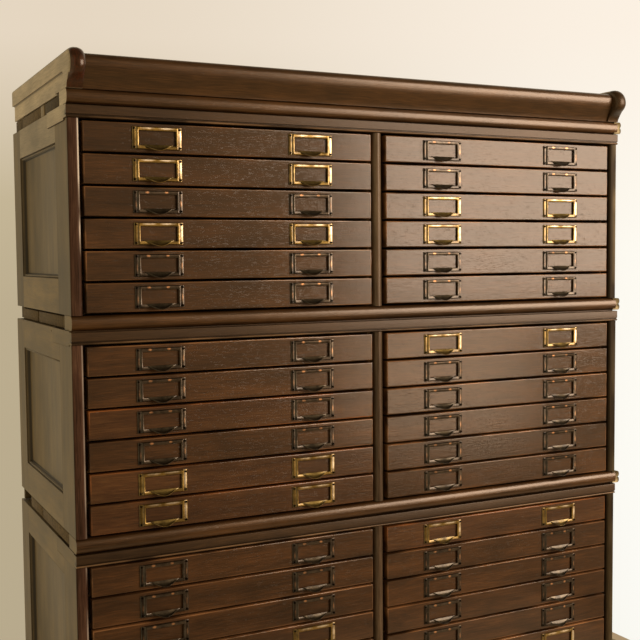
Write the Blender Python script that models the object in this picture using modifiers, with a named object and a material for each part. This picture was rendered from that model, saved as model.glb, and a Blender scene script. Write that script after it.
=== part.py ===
import math

import bmesh
import bpy
from mathutils import Vector

# Flat file cabinet: a plinth, three stacked sections of twelve shallow drawers, and a crown.
# Lengths are in metres. X runs to the right, Y to the back and Z up.
# The cabinet stands on Z = 0 with the middle of its outer box on X = 0 and Y = 0.
# Each section's pieces are modelled once, about the middle of the section's top edge,
# in the plane of its drawer fronts, and then placed three times.

# Driving dimensions of the whole cabinet
cabinet_width = 0.864
cabinet_depth = 0.350
section_pitch = 0.277
plinth_height = 0.070
crown_height = 0.066
rows = 6
pull_spacing = 0.214

# Gap left between pieces that touch, and overlap of shapes joined into one piece
seam = 0.0003
joint_overlap = 0.001

# How far each section stands from the upper one, to the right and to the back
section_shifts = {
    "upper": (0.0, 0.0),
    "middle": (-0.0015, -0.0035),
    "lower": (-0.0020, -0.0020),
}

# Top rail with its fascia across the front
fascia_height = 0.017
fascia_thickness = 0.012
fascia_projection = 0.0020
fascia_edge_round = 0.0008
fascia_bead_height = 0.0030
fascia_groove_height = 0.0012
fascia_groove_depth = 0.0014
top_rail_depth = 0.105
top_rail_thickness = 0.0140

# Base rail: a half-round roll across the front and a board behind it
roll_height = 0.0183
roll_projection = 0.0015
roll_bulge = 0.0070
roll_block_depth = 0.042
base_end_recess = 0.006

# Covering strip over the right end of each base rail, with two beads on its face
strip_projection = 0.008
strip_bead_depth = 0.0030

# Sides with a rounded front post and a sunk panel
post_width = 0.0150
post_setback = 0.0005
post_outer_round = 0.0020
post_inner_round = 0.0090
lining_thickness = 0.0028
lining_start = 0.0175
lining_slope = 0.0020
panel_recess = 0.0045
panel_bead_width = 0.0040
front_stile_width = 0.067
back_stile_width = 0.050
side_top_rail_width = 0.041
side_bottom_rail_width = 0.045

# Centre partition with a half-round column in front
column_width = 0.0146
partition_width = 0.0212

# Back panel
back_thickness = 0.008
back_setback = 0.004

# Drawer fronts
row_gap = 0.0032
front_thickness = 0.016
front_edge_round = 0.0010
reveal_at_side = 0.0040
centre_gap = 0.0236

# Drawer boxes and the ledges that carry them
box_inset = 0.0004
box_wall = 0.007
box_bottom = 0.004
box_back_clearance = 0.008
box_lift = 0.0055
box_top_clearance = 0.0015
ledge_width = 0.009
ledge_thickness = 0.0045
ledge_start = 0.020

# Label pulls
pull_width = 0.0645
pull_height = 0.0285
pull_projection = 0.0030
pull_drop = 0.00075
window_width = 0.0485
window_height = 0.0185
tongue_width = 0.040
tongue_length = 0.0105
tongue_thickness = 0.0014
tongue_slope = math.radians(45)

# Crown
torus_height = 0.018
end_thickness = 0.020
end_bulb_projection = 0.024
end_bulb_depth = 0.020
end_bulb_height_above = 0.021
end_bulb_height_below = 0.016
end_bulb_turn = 235
end_neck_projection = 0.002
end_throat_projection = 0.006
end_throat_height = 0.0265
end_neck_height = 0.0215
end_edge_round = 0.0045
end_field_depth = 0.0034
end_field_height = 0.0405
end_field_front = 0.013
end_field_open = 0.060
moulding_height = 0.060
moulding_projection = 0.0125
moulding_foot_setback = 0.001
moulding_nose_round = 0.010
moulding_thickness = 0.018
top_board_thickness = 0.015
top_board_drop = 0.0010

# Plinth
plinth_inset = 0.006
plinth_board = 0.020

# Number of short flats that a round stretch is made of
arc_steps = 6
ogee_steps = 8

# Sizes that follow from the ones above
half_width = cabinet_width / 2
row_pitch = (section_pitch - fascia_height - roll_height - row_gap) / rows
front_height = row_pitch - row_gap
front_width = half_width - post_width - reveal_at_side - centre_gap / 2
column_offset = centre_gap / 2 + front_width / 2
base_top = -section_pitch + roll_height
side_floor = base_top + seam
inner_width = half_width - post_width - lining_thickness
back_front_face = cabinet_depth - back_setback - back_thickness
box_depth = back_front_face - box_back_clearance
strip_face = half_width + strip_projection
leftmost = -half_width + min(shift[0] for shift in section_shifts.values())
stack_x = -(leftmost + strip_face) / 2
stack_y = -(cabinet_depth - end_bulb_projection) / 2
crown_floor = plinth_height + len(section_shifts) * section_pitch

# Colours of the finished woods
dark_front_wood = (0.105, 0.047, 0.026, 1.0)
case_wood = (0.135, 0.088, 0.043, 1.0)
moulding_wood = (0.095, 0.045, 0.026, 1.0)
inner_wood = (0.300, 0.190, 0.095, 1.0)


def clear_scene():
    for item in list(bpy.data.objects):
        bpy.data.objects.remove(item, do_unlink=True)


def new_collection(name):
    collection = bpy.data.collections.new(name)
    bpy.context.scene.collection.children.link(collection)
    return collection


def wood(name, colour, roughness):
    material = bpy.data.materials.new(name)
    material.use_nodes = True
    shader = material.node_tree.nodes["Principled BSDF"]
    shader.inputs["Base Color"].default_value = colour
    shader.inputs["Roughness"].default_value = roughness
    shader.inputs["Metallic"].default_value = 0.0
    material.diffuse_color = colour
    return material


def arc(centre, radius_y, radius_z, start, stop, steps=arc_steps):
    points = []
    for step in range(steps + 1):
        angle = math.radians(start + (stop - start) * step / steps)
        points.append((centre[0] + radius_y * math.cos(angle), centre[1] + radius_z * math.sin(angle)))
    return points


def block(name, low, high):
    # A box between two opposite corners
    bpy.ops.mesh.primitive_cube_add(size=1)
    box = bpy.context.object
    box.name = name
    low = Vector(low)
    high = Vector(high)
    for vertex in box.data.vertices:
        corner = vertex.co + Vector((0.5, 0.5, 0.5))
        vertex.co = Vector(low[axis] + corner[axis] * (high[axis] - low[axis]) for axis in range(3))
    return box


def extruded(name, outline, start, stop, along="X"):
    # A flat outline drawn out along X, from points (y, z), or along Z, from points (x, y)
    curve = bpy.data.curves.new(name, "CURVE")
    curve.dimensions = "2D"
    curve.fill_mode = "BOTH"
    curve.extrude = (stop - start) / 2
    spline = curve.splines.new("POLY")
    spline.points.add(len(outline) - 1)
    for point, place in zip(spline.points, outline):
        point.co = (place[0], place[1], 0.0, 1.0)
    spline.use_cyclic_u = True
    guide = bpy.data.objects.new(name, curve)
    bpy.context.scene.collection.objects.link(guide)
    if along == "X":
        guide.rotation_euler = (math.radians(90), 0.0, math.radians(90))
        guide.location = ((start + stop) / 2, 0.0, 0.0)
    else:
        guide.location = (0.0, 0.0, (start + stop) / 2)
    return solid_from_curve(guide)


def solid_from_curve(guide):
    bpy.context.view_layer.update()
    depsgraph = bpy.context.evaluated_depsgraph_get()
    mesh = bpy.data.meshes.new_from_object(guide.evaluated_get(depsgraph))
    mesh.transform(guide.matrix_world)
    shape = bmesh.new()
    shape.from_mesh(mesh)
    bmesh.ops.remove_doubles(shape, verts=shape.verts, dist=seam / 100)
    bmesh.ops.recalc_face_normals(shape, faces=shape.faces)
    shape.to_mesh(mesh)
    shape.free()
    solid = bpy.data.objects.new(guide.name, mesh)
    bpy.context.scene.collection.objects.link(solid)
    bpy.data.objects.remove(guide, do_unlink=True)
    return solid


def make_cutter(shape):
    for collection in list(shape.users_collection):
        collection.objects.unlink(shape)
    cutters.objects.link(shape)
    shape.hide_render = True
    shape.display_type = "WIRE"


def combine(target, other, operation):
    make_cutter(other)
    modifier = target.modifiers.new(operation.lower(), "BOOLEAN")
    modifier.operation = operation
    modifier.solver = "EXACT"
    modifier.object = other


def cut(target, other):
    combine(target, other, "DIFFERENCE")


def join(target, other):
    combine(target, other, "UNION")


def ease_edges(shape, width, segments):
    modifier = shape.modifiers.new("eased edges", "BEVEL")
    modifier.width = width
    modifier.segments = segments
    modifier.limit_method = "ANGLE"
    modifier.angle_limit = math.radians(40)


def repeat_down(shape, count, distance):
    modifier = shape.modifiers.new("rows", "ARRAY")
    modifier.use_relative_offset = False
    modifier.use_constant_offset = True
    modifier.constant_offset_displace = (0.0, 0.0, -distance)
    modifier.count = count


def finished_mesh(shape, material):
    # The shape's mesh with its modifiers applied, ready to be placed as often as needed
    bpy.context.view_layer.update()
    depsgraph = bpy.context.evaluated_depsgraph_get()
    mesh = bpy.data.meshes.new_from_object(shape.evaluated_get(depsgraph))
    mesh.name = shape.name
    mesh.materials.clear()
    mesh.materials.append(material)
    bpy.data.objects.remove(shape, do_unlink=True)
    for cutter in list(cutters.objects):
        bpy.data.objects.remove(cutter, do_unlink=True)
    mesh.shade_smooth()
    mesh.set_sharp_from_angle(angle=math.radians(35))
    return mesh


def place(name, mesh, location):
    piece = bpy.data.objects.new(name, mesh)
    piece.location = location
    cabinet.objects.link(piece)
    return piece


def roll_outline(height, floor):
    # Side view of a base rail's front: a flat back, and an oval nose across the front
    nose_y = roll_bulge - roll_projection
    nose = arc((nose_y, floor + height / 2), roll_bulge, height / 2, 90, 270)
    return [(roll_block_depth, floor), (roll_block_depth, floor + height)] + nose


def strip_outline(height, floor):
    # Plan of the covering strip seen from its end: two rounded beads, one above the other
    bead = height / 2
    lower = arc((strip_face - strip_bead_depth, floor + bead / 2), strip_bead_depth, bead / 2, -90, 90)
    upper = arc((strip_face - strip_bead_depth, floor + bead * 1.5), strip_bead_depth, bead / 2, -90, 90)
    inner_face = half_width - base_end_recess - joint_overlap
    return lower + upper[1:] + [(inner_face, floor + height), (inner_face, floor)]


def covering_strip(height, floor):
    # The strip's outline lies in X and Z, so it is drawn standing up and laid along Y
    outline = strip_outline(height, floor)
    strip = extruded("covering_strip", outline, -cabinet_depth, 0.0, along="Z")
    for vertex in strip.data.vertices:
        vertex.co = Vector((vertex.co.x, -vertex.co.z, vertex.co.y))
    strip.data.update()
    return strip


def base_rail(name, height, floor):
    rail = extruded(name, roll_outline(height, floor), -half_width, half_width)
    board = block(
        "board",
        (-half_width + base_end_recess, roll_block_depth - joint_overlap, floor),
        (half_width - base_end_recess, cabinet_depth, floor + height),
    )
    join(rail, board)
    join(rail, covering_strip(height, floor))
    return rail


def top_rail():
    front = -fascia_projection
    bead_top = -fascia_height + fascia_bead_height
    groove_top = bead_top + fascia_groove_height
    bead_half = fascia_bead_height / 2
    groove_y = front + fascia_groove_depth
    bead = arc((groove_y, -fascia_height + bead_half), fascia_groove_depth, bead_half, 90, 270, steps=4)
    outline = [
        (top_rail_depth, -top_rail_thickness),
        (top_rail_depth, -seam),
        (front + fascia_edge_round, -seam),
        (front, -seam - fascia_edge_round),
        (front, groove_top),
        (groove_y, groove_top),
    ]
    outline += bead + [(fascia_thickness, -fascia_height), (fascia_thickness, -top_rail_thickness)]
    return extruded("top_rail", outline, -half_width, half_width)


def side_plan(sign):
    # Plan of a side: a rounded post in front, and a lining behind the drawer fronts
    inner_post = half_width - post_width
    outer = arc((half_width - post_outer_round, post_setback + post_outer_round),
                post_outer_round, post_outer_round, 0, -90, steps=3)
    inner = arc((inner_post + post_inner_round, post_setback + post_inner_round),
                post_inner_round, post_inner_round, -90, -180)
    outline = [(half_width, cabinet_depth)] + outer + inner
    outline += [
        (inner_post, lining_start - lining_slope),
        (inner_width, lining_start),
        (inner_width, cabinet_depth),
    ]
    return [(sign * x, y) for x, y in outline]


def sunk_panel_cutter(sign):
    # A shallow box whose walls slope in, as the moulded edge round the panel does
    top = -side_top_rail_width
    floor = side_floor + side_bottom_rail_width
    front = front_stile_width
    back = cabinet_depth - back_stile_width
    cutter = block(
        "sunk_panel",
        (half_width - panel_recess, front, floor),
        (half_width + panel_recess, back, top),
    )
    middle = Vector((0.0, (front + back) / 2, (floor + top) / 2))
    for vertex in cutter.data.vertices:
        if vertex.co.x < half_width:
            vertex.co.y -= math.copysign(panel_bead_width / 2, vertex.co.y - middle.y)
            vertex.co.z -= math.copysign(panel_bead_width / 2, vertex.co.z - middle.z)
        else:
            vertex.co.y += math.copysign(panel_bead_width / 2, vertex.co.y - middle.y)
            vertex.co.z += math.copysign(panel_bead_width / 2, vertex.co.z - middle.z)
    mirror_to(cutter, sign)
    return cutter


def mirror_to(shape, sign):
    # Puts a shape modelled on the right where the sign says, with its faces still outward
    if sign > 0:
        return
    mesh = bmesh.new()
    mesh.from_mesh(shape.data)
    for vertex in mesh.verts:
        vertex.co.x = -vertex.co.x
    bmesh.ops.reverse_faces(mesh, faces=mesh.faces)
    mesh.to_mesh(shape.data)
    mesh.free()


def rail_notch_outline():
    # Room that the top rail takes out of a side's upper front corner
    ahead = -fascia_thickness
    above = fascia_height
    return [
        (ahead, above),
        (ahead, -fascia_height - seam),
        (fascia_thickness + seam, -fascia_height - seam),
        (fascia_thickness + seam, -top_rail_thickness - seam),
        (top_rail_depth + seam, -top_rail_thickness - seam),
        (top_rail_depth + seam, above),
    ]


def ledges(sign, wall, overlap):
    # The six ledges on one face of a side or of the partition
    inner_end = wall - ledge_width if sign > 0 else wall + ledge_width
    reach = wall + overlap if sign > 0 else wall - overlap
    first_bottom = -fascia_height - row_pitch
    top = first_bottom + box_lift - seam
    ledge = block(
        "ledge",
        (min(inner_end, reach), ledge_start, top - ledge_thickness),
        (max(inner_end, reach), box_depth, top),
    )
    repeat_down(ledge, rows, row_pitch)
    return ledge


def section_side(sign):
    side = extruded("side", side_plan(sign), side_floor, -seam, along="Z")
    cut(side, sunk_panel_cutter(sign))
    overhang = post_width
    low = half_width - post_width - lining_thickness - overhang
    high = half_width + overhang
    notch = extruded("notch", rail_notch_outline(), low, high)
    mirror_to(notch, sign)
    cut(side, notch)
    join(side, ledges(sign, sign * inner_width, joint_overlap))
    return side


def partition():
    radius = column_width / 2
    column = arc((0.0, post_setback + radius), radius, radius, -180, 0, steps=8)
    half = partition_width / 2
    outline = column + [
        (radius, lining_start - lining_slope),
        (half, lining_start),
        (half, back_front_face - seam),
        (-half, back_front_face - seam),
        (-half, lining_start),
        (-radius, lining_start - lining_slope),
    ]
    wall = extruded("partition", outline, side_floor, -fascia_height - seam, along="Z")
    join(wall, ledges(-1, half, joint_overlap))
    join(wall, ledges(1, -half, joint_overlap))
    return wall


def back_panel():
    edge = inner_width - seam
    return block("back", (-edge, back_front_face, side_floor),
                 (edge, back_front_face + back_thickness, -seam))


def pull_frame(x):
    middle = -pull_drop
    frame = block(
        "frame",
        (x - pull_width / 2, -pull_projection, middle - pull_height / 2),
        (x + pull_width / 2, joint_overlap, middle + pull_height / 2),
    )
    window = block(
        "window",
        (x - window_width / 2, -2 * pull_projection, middle - window_height / 2),
        (x + window_width / 2, 2 * joint_overlap, middle + window_height / 2),
    )
    cut(frame, window)
    return frame


def pull_tongue(x):
    # A half-moon plate whose straight edge is in the frame's lower bar
    half = tongue_width / 2
    radius = (half ** 2 + tongue_length ** 2) / (2 * tongue_length)
    sweep = math.degrees(math.asin(half / radius))
    centre = (0.0, radius - tongue_length)
    outline = arc(centre, radius, radius, -90 - sweep, -90 + sweep, steps=6)
    plate = extruded("tongue", outline, -tongue_thickness / 2, tongue_thickness / 2, along="Z")
    lower_bar = -pull_drop - window_height / 2 - joint_overlap
    plate.rotation_euler = (tongue_slope, 0.0, 0.0)
    plate.location = (x, -pull_projection / 2, lower_bar)
    return plate


def drawer():
    # The drawer's own middle is the middle of its front's face
    half = front_width / 2
    half_height = front_height / 2
    front = block("drawer", (-half, 0.0, -half_height), (half, front_thickness, half_height))
    ease_edges(front, front_edge_round, 1)
    box_half = half - box_inset
    floor = -half_height + box_lift
    rim = half_height - box_top_clearance
    join(front, block("box", (-box_half, front_thickness - joint_overlap, floor),
                      (box_half, box_depth, rim)))
    cut(front, block("hollow", (-box_half + box_wall, front_thickness + joint_overlap, floor + box_bottom),
                     (box_half - box_wall, box_depth - box_wall, rim + box_lift)))
    for x in (-pull_spacing / 2, pull_spacing / 2):
        join(front, pull_frame(x))
        join(front, pull_tongue(x))
    return front


def crown_end_outline():
    # Side view of a crown end: a neck at the foot that swells into a round nose at the top
    middle = (end_bulb_depth - end_bulb_projection, crown_height - end_bulb_height_above)
    upper_nose = arc(middle, end_bulb_depth, end_bulb_height_above, 90, 180)
    lower_nose = arc(middle, end_bulb_depth, end_bulb_height_below, 180, end_bulb_turn, steps=4)
    return [(cabinet_depth, torus_height + seam), (cabinet_depth, crown_height)] + upper_nose + lower_nose[1:] + [
        (-end_throat_projection, end_throat_height),
        (-(end_neck_projection + end_throat_projection) / 2, end_neck_height),
        (-end_neck_projection, torus_height + seam),
    ]


def crown_field_outline():
    # The sunk field on a crown end's outer face, open at the back and below
    radius = (end_field_height - end_neck_height) / 2
    nose = arc((end_field_front + radius, end_neck_height + radius), radius, radius, 90, 270)
    behind = cabinet_depth + end_thickness
    return [(behind, 0.0), (behind, end_field_height)] + nose + [
        (end_field_open, end_neck_height),
        (end_field_open, 0.0),
    ]


def crown_end(sign):
    end = extruded("crown_end", crown_end_outline(), half_width - end_thickness, half_width)
    field = extruded("field", crown_field_outline(), half_width - end_field_depth, half_width + end_thickness)
    mirror_to(end, sign)
    mirror_to(field, sign)
    ease_edges(end, end_edge_round, 2)
    cut(end, field)
    return end


def moulding_outline():
    # An ogee: a hollow at the foot that turns into a round nose under the top edge
    foot_z = torus_height + seam
    nose_z = moulding_height - moulding_nose_round
    reach = moulding_projection + moulding_foot_setback
    outline = [(moulding_thickness, foot_z), (moulding_thickness, moulding_height)]
    outline += arc((moulding_nose_round - moulding_projection, nose_z),
                   moulding_nose_round, moulding_nose_round, 90, 180, steps=4)
    for step in range(1, ogee_steps + 1):
        turn = math.pi * step / ogee_steps
        y = moulding_foot_setback - reach * (1 + math.cos(turn)) / 2
        outline.append((y, nose_z + (foot_z - nose_z) * step / ogee_steps))
    return outline


def crown_moulding():
    edge = half_width - end_thickness - seam
    return extruded("crown_moulding", moulding_outline(), -edge, edge)


def crown_top_board():
    # The top board with the rail under its back edge that closes the crown's back
    edge = half_width - end_thickness - seam
    top = moulding_height - top_board_drop
    front = moulding_thickness + seam
    under = top - top_board_thickness
    rail_front = cabinet_depth - top_board_thickness
    outline = [
        (front, under),
        (front, top),
        (cabinet_depth, top),
        (cabinet_depth, torus_height + seam),
        (rail_front, torus_height + seam),
        (rail_front, under),
    ]
    return extruded("crown_top_board", outline, -edge, edge)


def plinth():
    # Four boards round an open middle, under the lower section
    edge = half_width - plinth_inset
    back = cabinet_depth - plinth_inset
    frame = block("plinth", (-edge, plinth_inset, 0.0), (edge, back, plinth_height - seam))
    hollow = block(
        "hollow",
        (-edge + plinth_board, plinth_inset + plinth_board, -plinth_board),
        (edge - plinth_board, back - plinth_board, plinth_height + plinth_board),
    )
    cut(frame, hollow)
    return frame


clear_scene()
cabinet = new_collection("flat_file_cabinet")
cutters = new_collection("cutters")

front_finish = wood("stained_drawer_front", dark_front_wood, 0.35)
case_finish = wood("aged_case_side", case_wood, 0.55)
moulding_finish = wood("stained_moulding", moulding_wood, 0.32)
bare_finish = wood("bare_inner_wood", inner_wood, 0.70)

# Pieces of one section, and where each goes in it
section_pieces = {
    "left_side": finished_mesh(section_side(-1), case_finish),
    "right_side": finished_mesh(section_side(1), case_finish),
    "centre_partition": finished_mesh(partition(), moulding_finish),
    "top_rail": finished_mesh(top_rail(), moulding_finish),
    "base_rail": finished_mesh(base_rail("base_rail", roll_height, -section_pitch), moulding_finish),
    "back_panel": finished_mesh(back_panel(), bare_finish),
}
drawer_mesh = finished_mesh(drawer(), front_finish)

for level, (section, shift) in enumerate(section_shifts.items()):
    corner = Vector((stack_x + shift[0], stack_y + shift[1], crown_floor - level * section_pitch))
    for piece_name, piece_mesh in section_pieces.items():
        place(f"{section}_{piece_name}", piece_mesh, corner)
    for side_name, sign in (("left", -1), ("right", 1)):
        for row in range(rows):
            height = -fascia_height - row_gap - row * row_pitch - front_height / 2
            centre = corner + Vector((sign * column_offset, 0.0, height))
            place(f"{section}_{side_name}_drawer_{row + 1}", drawer_mesh, centre)

crown_corner = Vector((stack_x, stack_y, crown_floor))
place("crown_base", finished_mesh(base_rail("crown_base", torus_height, 0.0), moulding_finish), crown_corner)
place("crown_left_end", finished_mesh(crown_end(-1), case_finish), crown_corner)
place("crown_right_end", finished_mesh(crown_end(1), case_finish), crown_corner)
place("crown_moulding", finished_mesh(crown_moulding(), moulding_finish), crown_corner)
place("crown_top_board", finished_mesh(crown_top_board(), case_finish), crown_corner)

lower_shift = section_shifts["lower"]
plinth_corner = Vector((stack_x + lower_shift[0], stack_y + lower_shift[1], 0.0))
place("plinth", finished_mesh(plinth(), moulding_finish), plinth_corner)
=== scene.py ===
import math
import random

import bmesh
import bpy
from mathutils import Matrix, Vector


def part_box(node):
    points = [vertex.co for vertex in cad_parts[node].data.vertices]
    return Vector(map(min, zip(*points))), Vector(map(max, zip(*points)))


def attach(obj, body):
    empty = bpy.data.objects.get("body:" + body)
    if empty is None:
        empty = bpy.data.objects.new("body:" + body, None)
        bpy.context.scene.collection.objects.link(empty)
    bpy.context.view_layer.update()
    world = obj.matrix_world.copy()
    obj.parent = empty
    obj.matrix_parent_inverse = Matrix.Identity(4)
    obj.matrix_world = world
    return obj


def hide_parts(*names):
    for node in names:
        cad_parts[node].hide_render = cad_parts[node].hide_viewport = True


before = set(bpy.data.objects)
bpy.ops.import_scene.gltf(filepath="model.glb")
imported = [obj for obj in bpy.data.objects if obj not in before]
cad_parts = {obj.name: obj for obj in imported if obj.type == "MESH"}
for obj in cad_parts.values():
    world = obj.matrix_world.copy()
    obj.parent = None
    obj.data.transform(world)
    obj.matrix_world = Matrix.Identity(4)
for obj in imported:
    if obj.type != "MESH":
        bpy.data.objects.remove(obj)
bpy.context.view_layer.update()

random.seed(7)
mm = 0.001
sections = ("upper", "middle", "lower")

# Where each section starts: the middle of its top edge, in the plane of its drawer fronts
corner = {}
for section in sections:
    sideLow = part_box(section + "_left_side")[0]
    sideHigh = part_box(section + "_right_side")[1]
    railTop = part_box(section + "_top_rail")[1]
    corner[section] = Vector(((sideLow.x + sideHigh.x) / 2, sideLow.y - 0.5 * mm, railTop.z + 0.3 * mm))

halfWidth = (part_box("upper_right_side")[1].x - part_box("upper_left_side")[0].x) / 2
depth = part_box("upper_left_side")[1].y - corner["upper"].y
pitch = corner["upper"].z - corner["middle"].z
seam = 0.3 * mm


def linear(code):
    # A colour written as in a paint chart, turned into light values
    parts = [int(code[i:i + 2], 16) / 255 for i in (1, 3, 5)]
    return tuple(c / 12.92 if c <= 0.04045 else ((c + 0.055) / 1.055) ** 2.4 for c in parts) + (1.0,)


def addNode(tree, kind, x, y, settings=None, links=None):
    node = tree.nodes.new(kind)
    node.location = (x, y)
    for key, value in (settings or {}).items():
        if isinstance(key, int) or key in node.inputs:
            node.inputs[key].default_value = value
        else:
            setattr(node, key, value)
    for key, source in (links or {}).items():
        tree.links.new(source, node.inputs[key])
    return node


def newMaterial(name):
    material = bpy.data.materials.new(name)
    material.use_nodes = True
    tree = material.node_tree
    tree.nodes.clear()
    return material, tree


def selectOnly(*pieces):
    bpy.ops.object.select_all(action="DESELECT")
    for piece in pieces:
        piece.select_set(True)
    bpy.context.view_layer.objects.active = pieces[0]


def editMode(piece, kind="FACE"):
    selectOnly(piece)
    bpy.ops.object.mode_set(mode="EDIT")
    bpy.ops.mesh.select_mode(type=kind)
    bpy.ops.mesh.select_all(action="DESELECT")


def objectMode():
    bpy.ops.object.mode_set(mode="OBJECT")


def pickFaces(piece, test):
    # Selects the faces whose middle and normal pass the test
    mesh = bmesh.from_edit_mesh(piece.data)
    for face in mesh.faces:
        face.select_set(bool(test(face.calc_center_median(), face.normal)))
    mesh.select_flush_mode()
    bmesh.update_edit_mesh(piece.data)


def pickEdges(piece, test):
    # Selects the edges whose two ends pass the test
    bpy.ops.mesh.select_mode(type="EDGE")
    mesh = bmesh.from_edit_mesh(piece.data)
    for edge in mesh.edges:
        edge.select_set(bool(test(edge.verts[0].co, edge.verts[1].co)))
    mesh.select_flush_mode()
    bmesh.update_edit_mesh(piece.data)


def pickPoints(piece, test):
    bpy.ops.mesh.select_mode(type="VERT")
    mesh = bmesh.from_edit_mesh(piece.data)
    for point in mesh.verts:
        point.select_set(bool(test(point.co)))
    mesh.select_flush_mode()
    bmesh.update_edit_mesh(piece.data)


def plank(name, low, high):
    # A board between two opposite corners, still to be shaped
    bpy.ops.object.select_all(action="DESELECT")
    low, high = Vector(low), Vector(high)
    bpy.ops.mesh.primitive_cube_add(size=1, location=(low + high) / 2, scale=high - low)
    piece = bpy.context.object
    piece.name = name
    bpy.ops.object.transform_apply(location=True, rotation=True, scale=True)
    return piece


def drawn(name, outline, along):
    # An outline drawn point by point, closed, and pulled out along a vector
    bpy.ops.object.select_all(action="DESELECT")
    bpy.ops.mesh.primitive_plane_add(size=mm, location=outline[0])
    piece = bpy.context.object
    piece.name = name
    bpy.ops.object.transform_apply(location=True, rotation=True, scale=True)
    bpy.ops.object.mode_set(mode="EDIT")
    bpy.ops.mesh.select_mode(type="VERT")
    bpy.ops.mesh.select_all(action="SELECT")
    bpy.ops.mesh.merge(type="CENTER")
    for here, there in zip(outline, outline[1:]):
        step = Vector(there) - Vector(here)
        bpy.ops.mesh.extrude_region_move(TRANSFORM_OT_translate={"value": step})
    bpy.ops.mesh.select_all(action="SELECT")
    bpy.ops.mesh.edge_face_add()
    bpy.ops.mesh.select_all(action="SELECT")
    bpy.ops.mesh.extrude_region_move(TRANSFORM_OT_translate={"value": Vector(along)})
    bpy.ops.mesh.select_all(action="SELECT")
    bpy.ops.mesh.normals_make_consistent(inside=False)
    objectMode()
    return piece


def arcPoints(middleA, middleB, radiusA, radiusB, start, stop, steps):
    points = []
    for step in range(steps + 1):
        angle = math.radians(start + (stop - start) * step / steps)
        points.append((middleA + radiusA * math.cos(angle), middleB + radiusB * math.sin(angle)))
    return points


def applyModifier(piece, kind, **settings):
    selectOnly(piece)
    modifier = piece.modifiers.new(kind.lower(), kind)
    for key, value in settings.items():
        setattr(modifier, key, value)
    bpy.ops.object.modifier_apply(modifier=modifier.name)


def easeEdges(piece, width, steps=2, angle=38):
    applyModifier(piece, "BEVEL", width=width, segments=steps, limit_method="ANGLE",
                  angle_limit=math.radians(angle), harden_normals=False)


def smooth(piece, angle=35):
    selectOnly(piece)
    bpy.ops.object.shade_smooth_by_angle(angle=math.radians(angle))


def joined(name, pieces):
    selectOnly(*pieces)
    if len(pieces) > 1:
        bpy.ops.object.join()
    whole = bpy.context.object
    whole.name = name
    return whole


def mirrored(name, piece):
    # The same shape on the other side of the cabinet, with its faces turned out again
    twin = copied(name, piece, Vector((0, 0, 0)))
    selectOnly(twin)
    bpy.ops.transform.mirror(constraint_axis=(True, False, False))
    bpy.ops.object.transform_apply(location=True, rotation=True, scale=True)
    bpy.ops.object.mode_set(mode="EDIT")
    bpy.ops.mesh.select_all(action="SELECT")
    bpy.ops.mesh.normals_make_consistent(inside=False)
    objectMode()
    return twin


def copied(name, piece, move):
    twin = bpy.data.objects.new(name, piece.data.copy())
    twin.data.name = name
    twin.data.transform(Matrix.Translation(move))
    bpy.context.scene.collection.objects.link(twin)
    return twin


def discard(*pieces):
    for piece in pieces:
        bpy.data.objects.remove(piece, do_unlink=True)


def paint(piece, *materials):
    piece.data.materials.clear()
    for material in materials:
        piece.data.materials.append(material)


def setTone(piece, value):
    # How light and red this board is, from 0 to 1, read by the wood finishes
    tone = piece.data.attributes.new("tone", "FLOAT", "POINT")
    tone.data.foreach_set("value", [value] * len(piece.data.vertices))


def setToneWithLightAcross(piece, left, right):
    # The same, rising from the left end of a long moulding to its right end: painted light, lighter where the light
    # from the right falls
    setTone(piece, left)
    for point, value in zip(piece.data.vertices, piece.data.attributes["tone"].data):
        value.value += (right - left) * min(1, max(0, 0.5 + 0.5 * point.co.x / halfWidth))


def fit(piece, body, slotName, *nodes):
    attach(piece, body)
    if nodes:
        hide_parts(*nodes)


# Finishes

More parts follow.
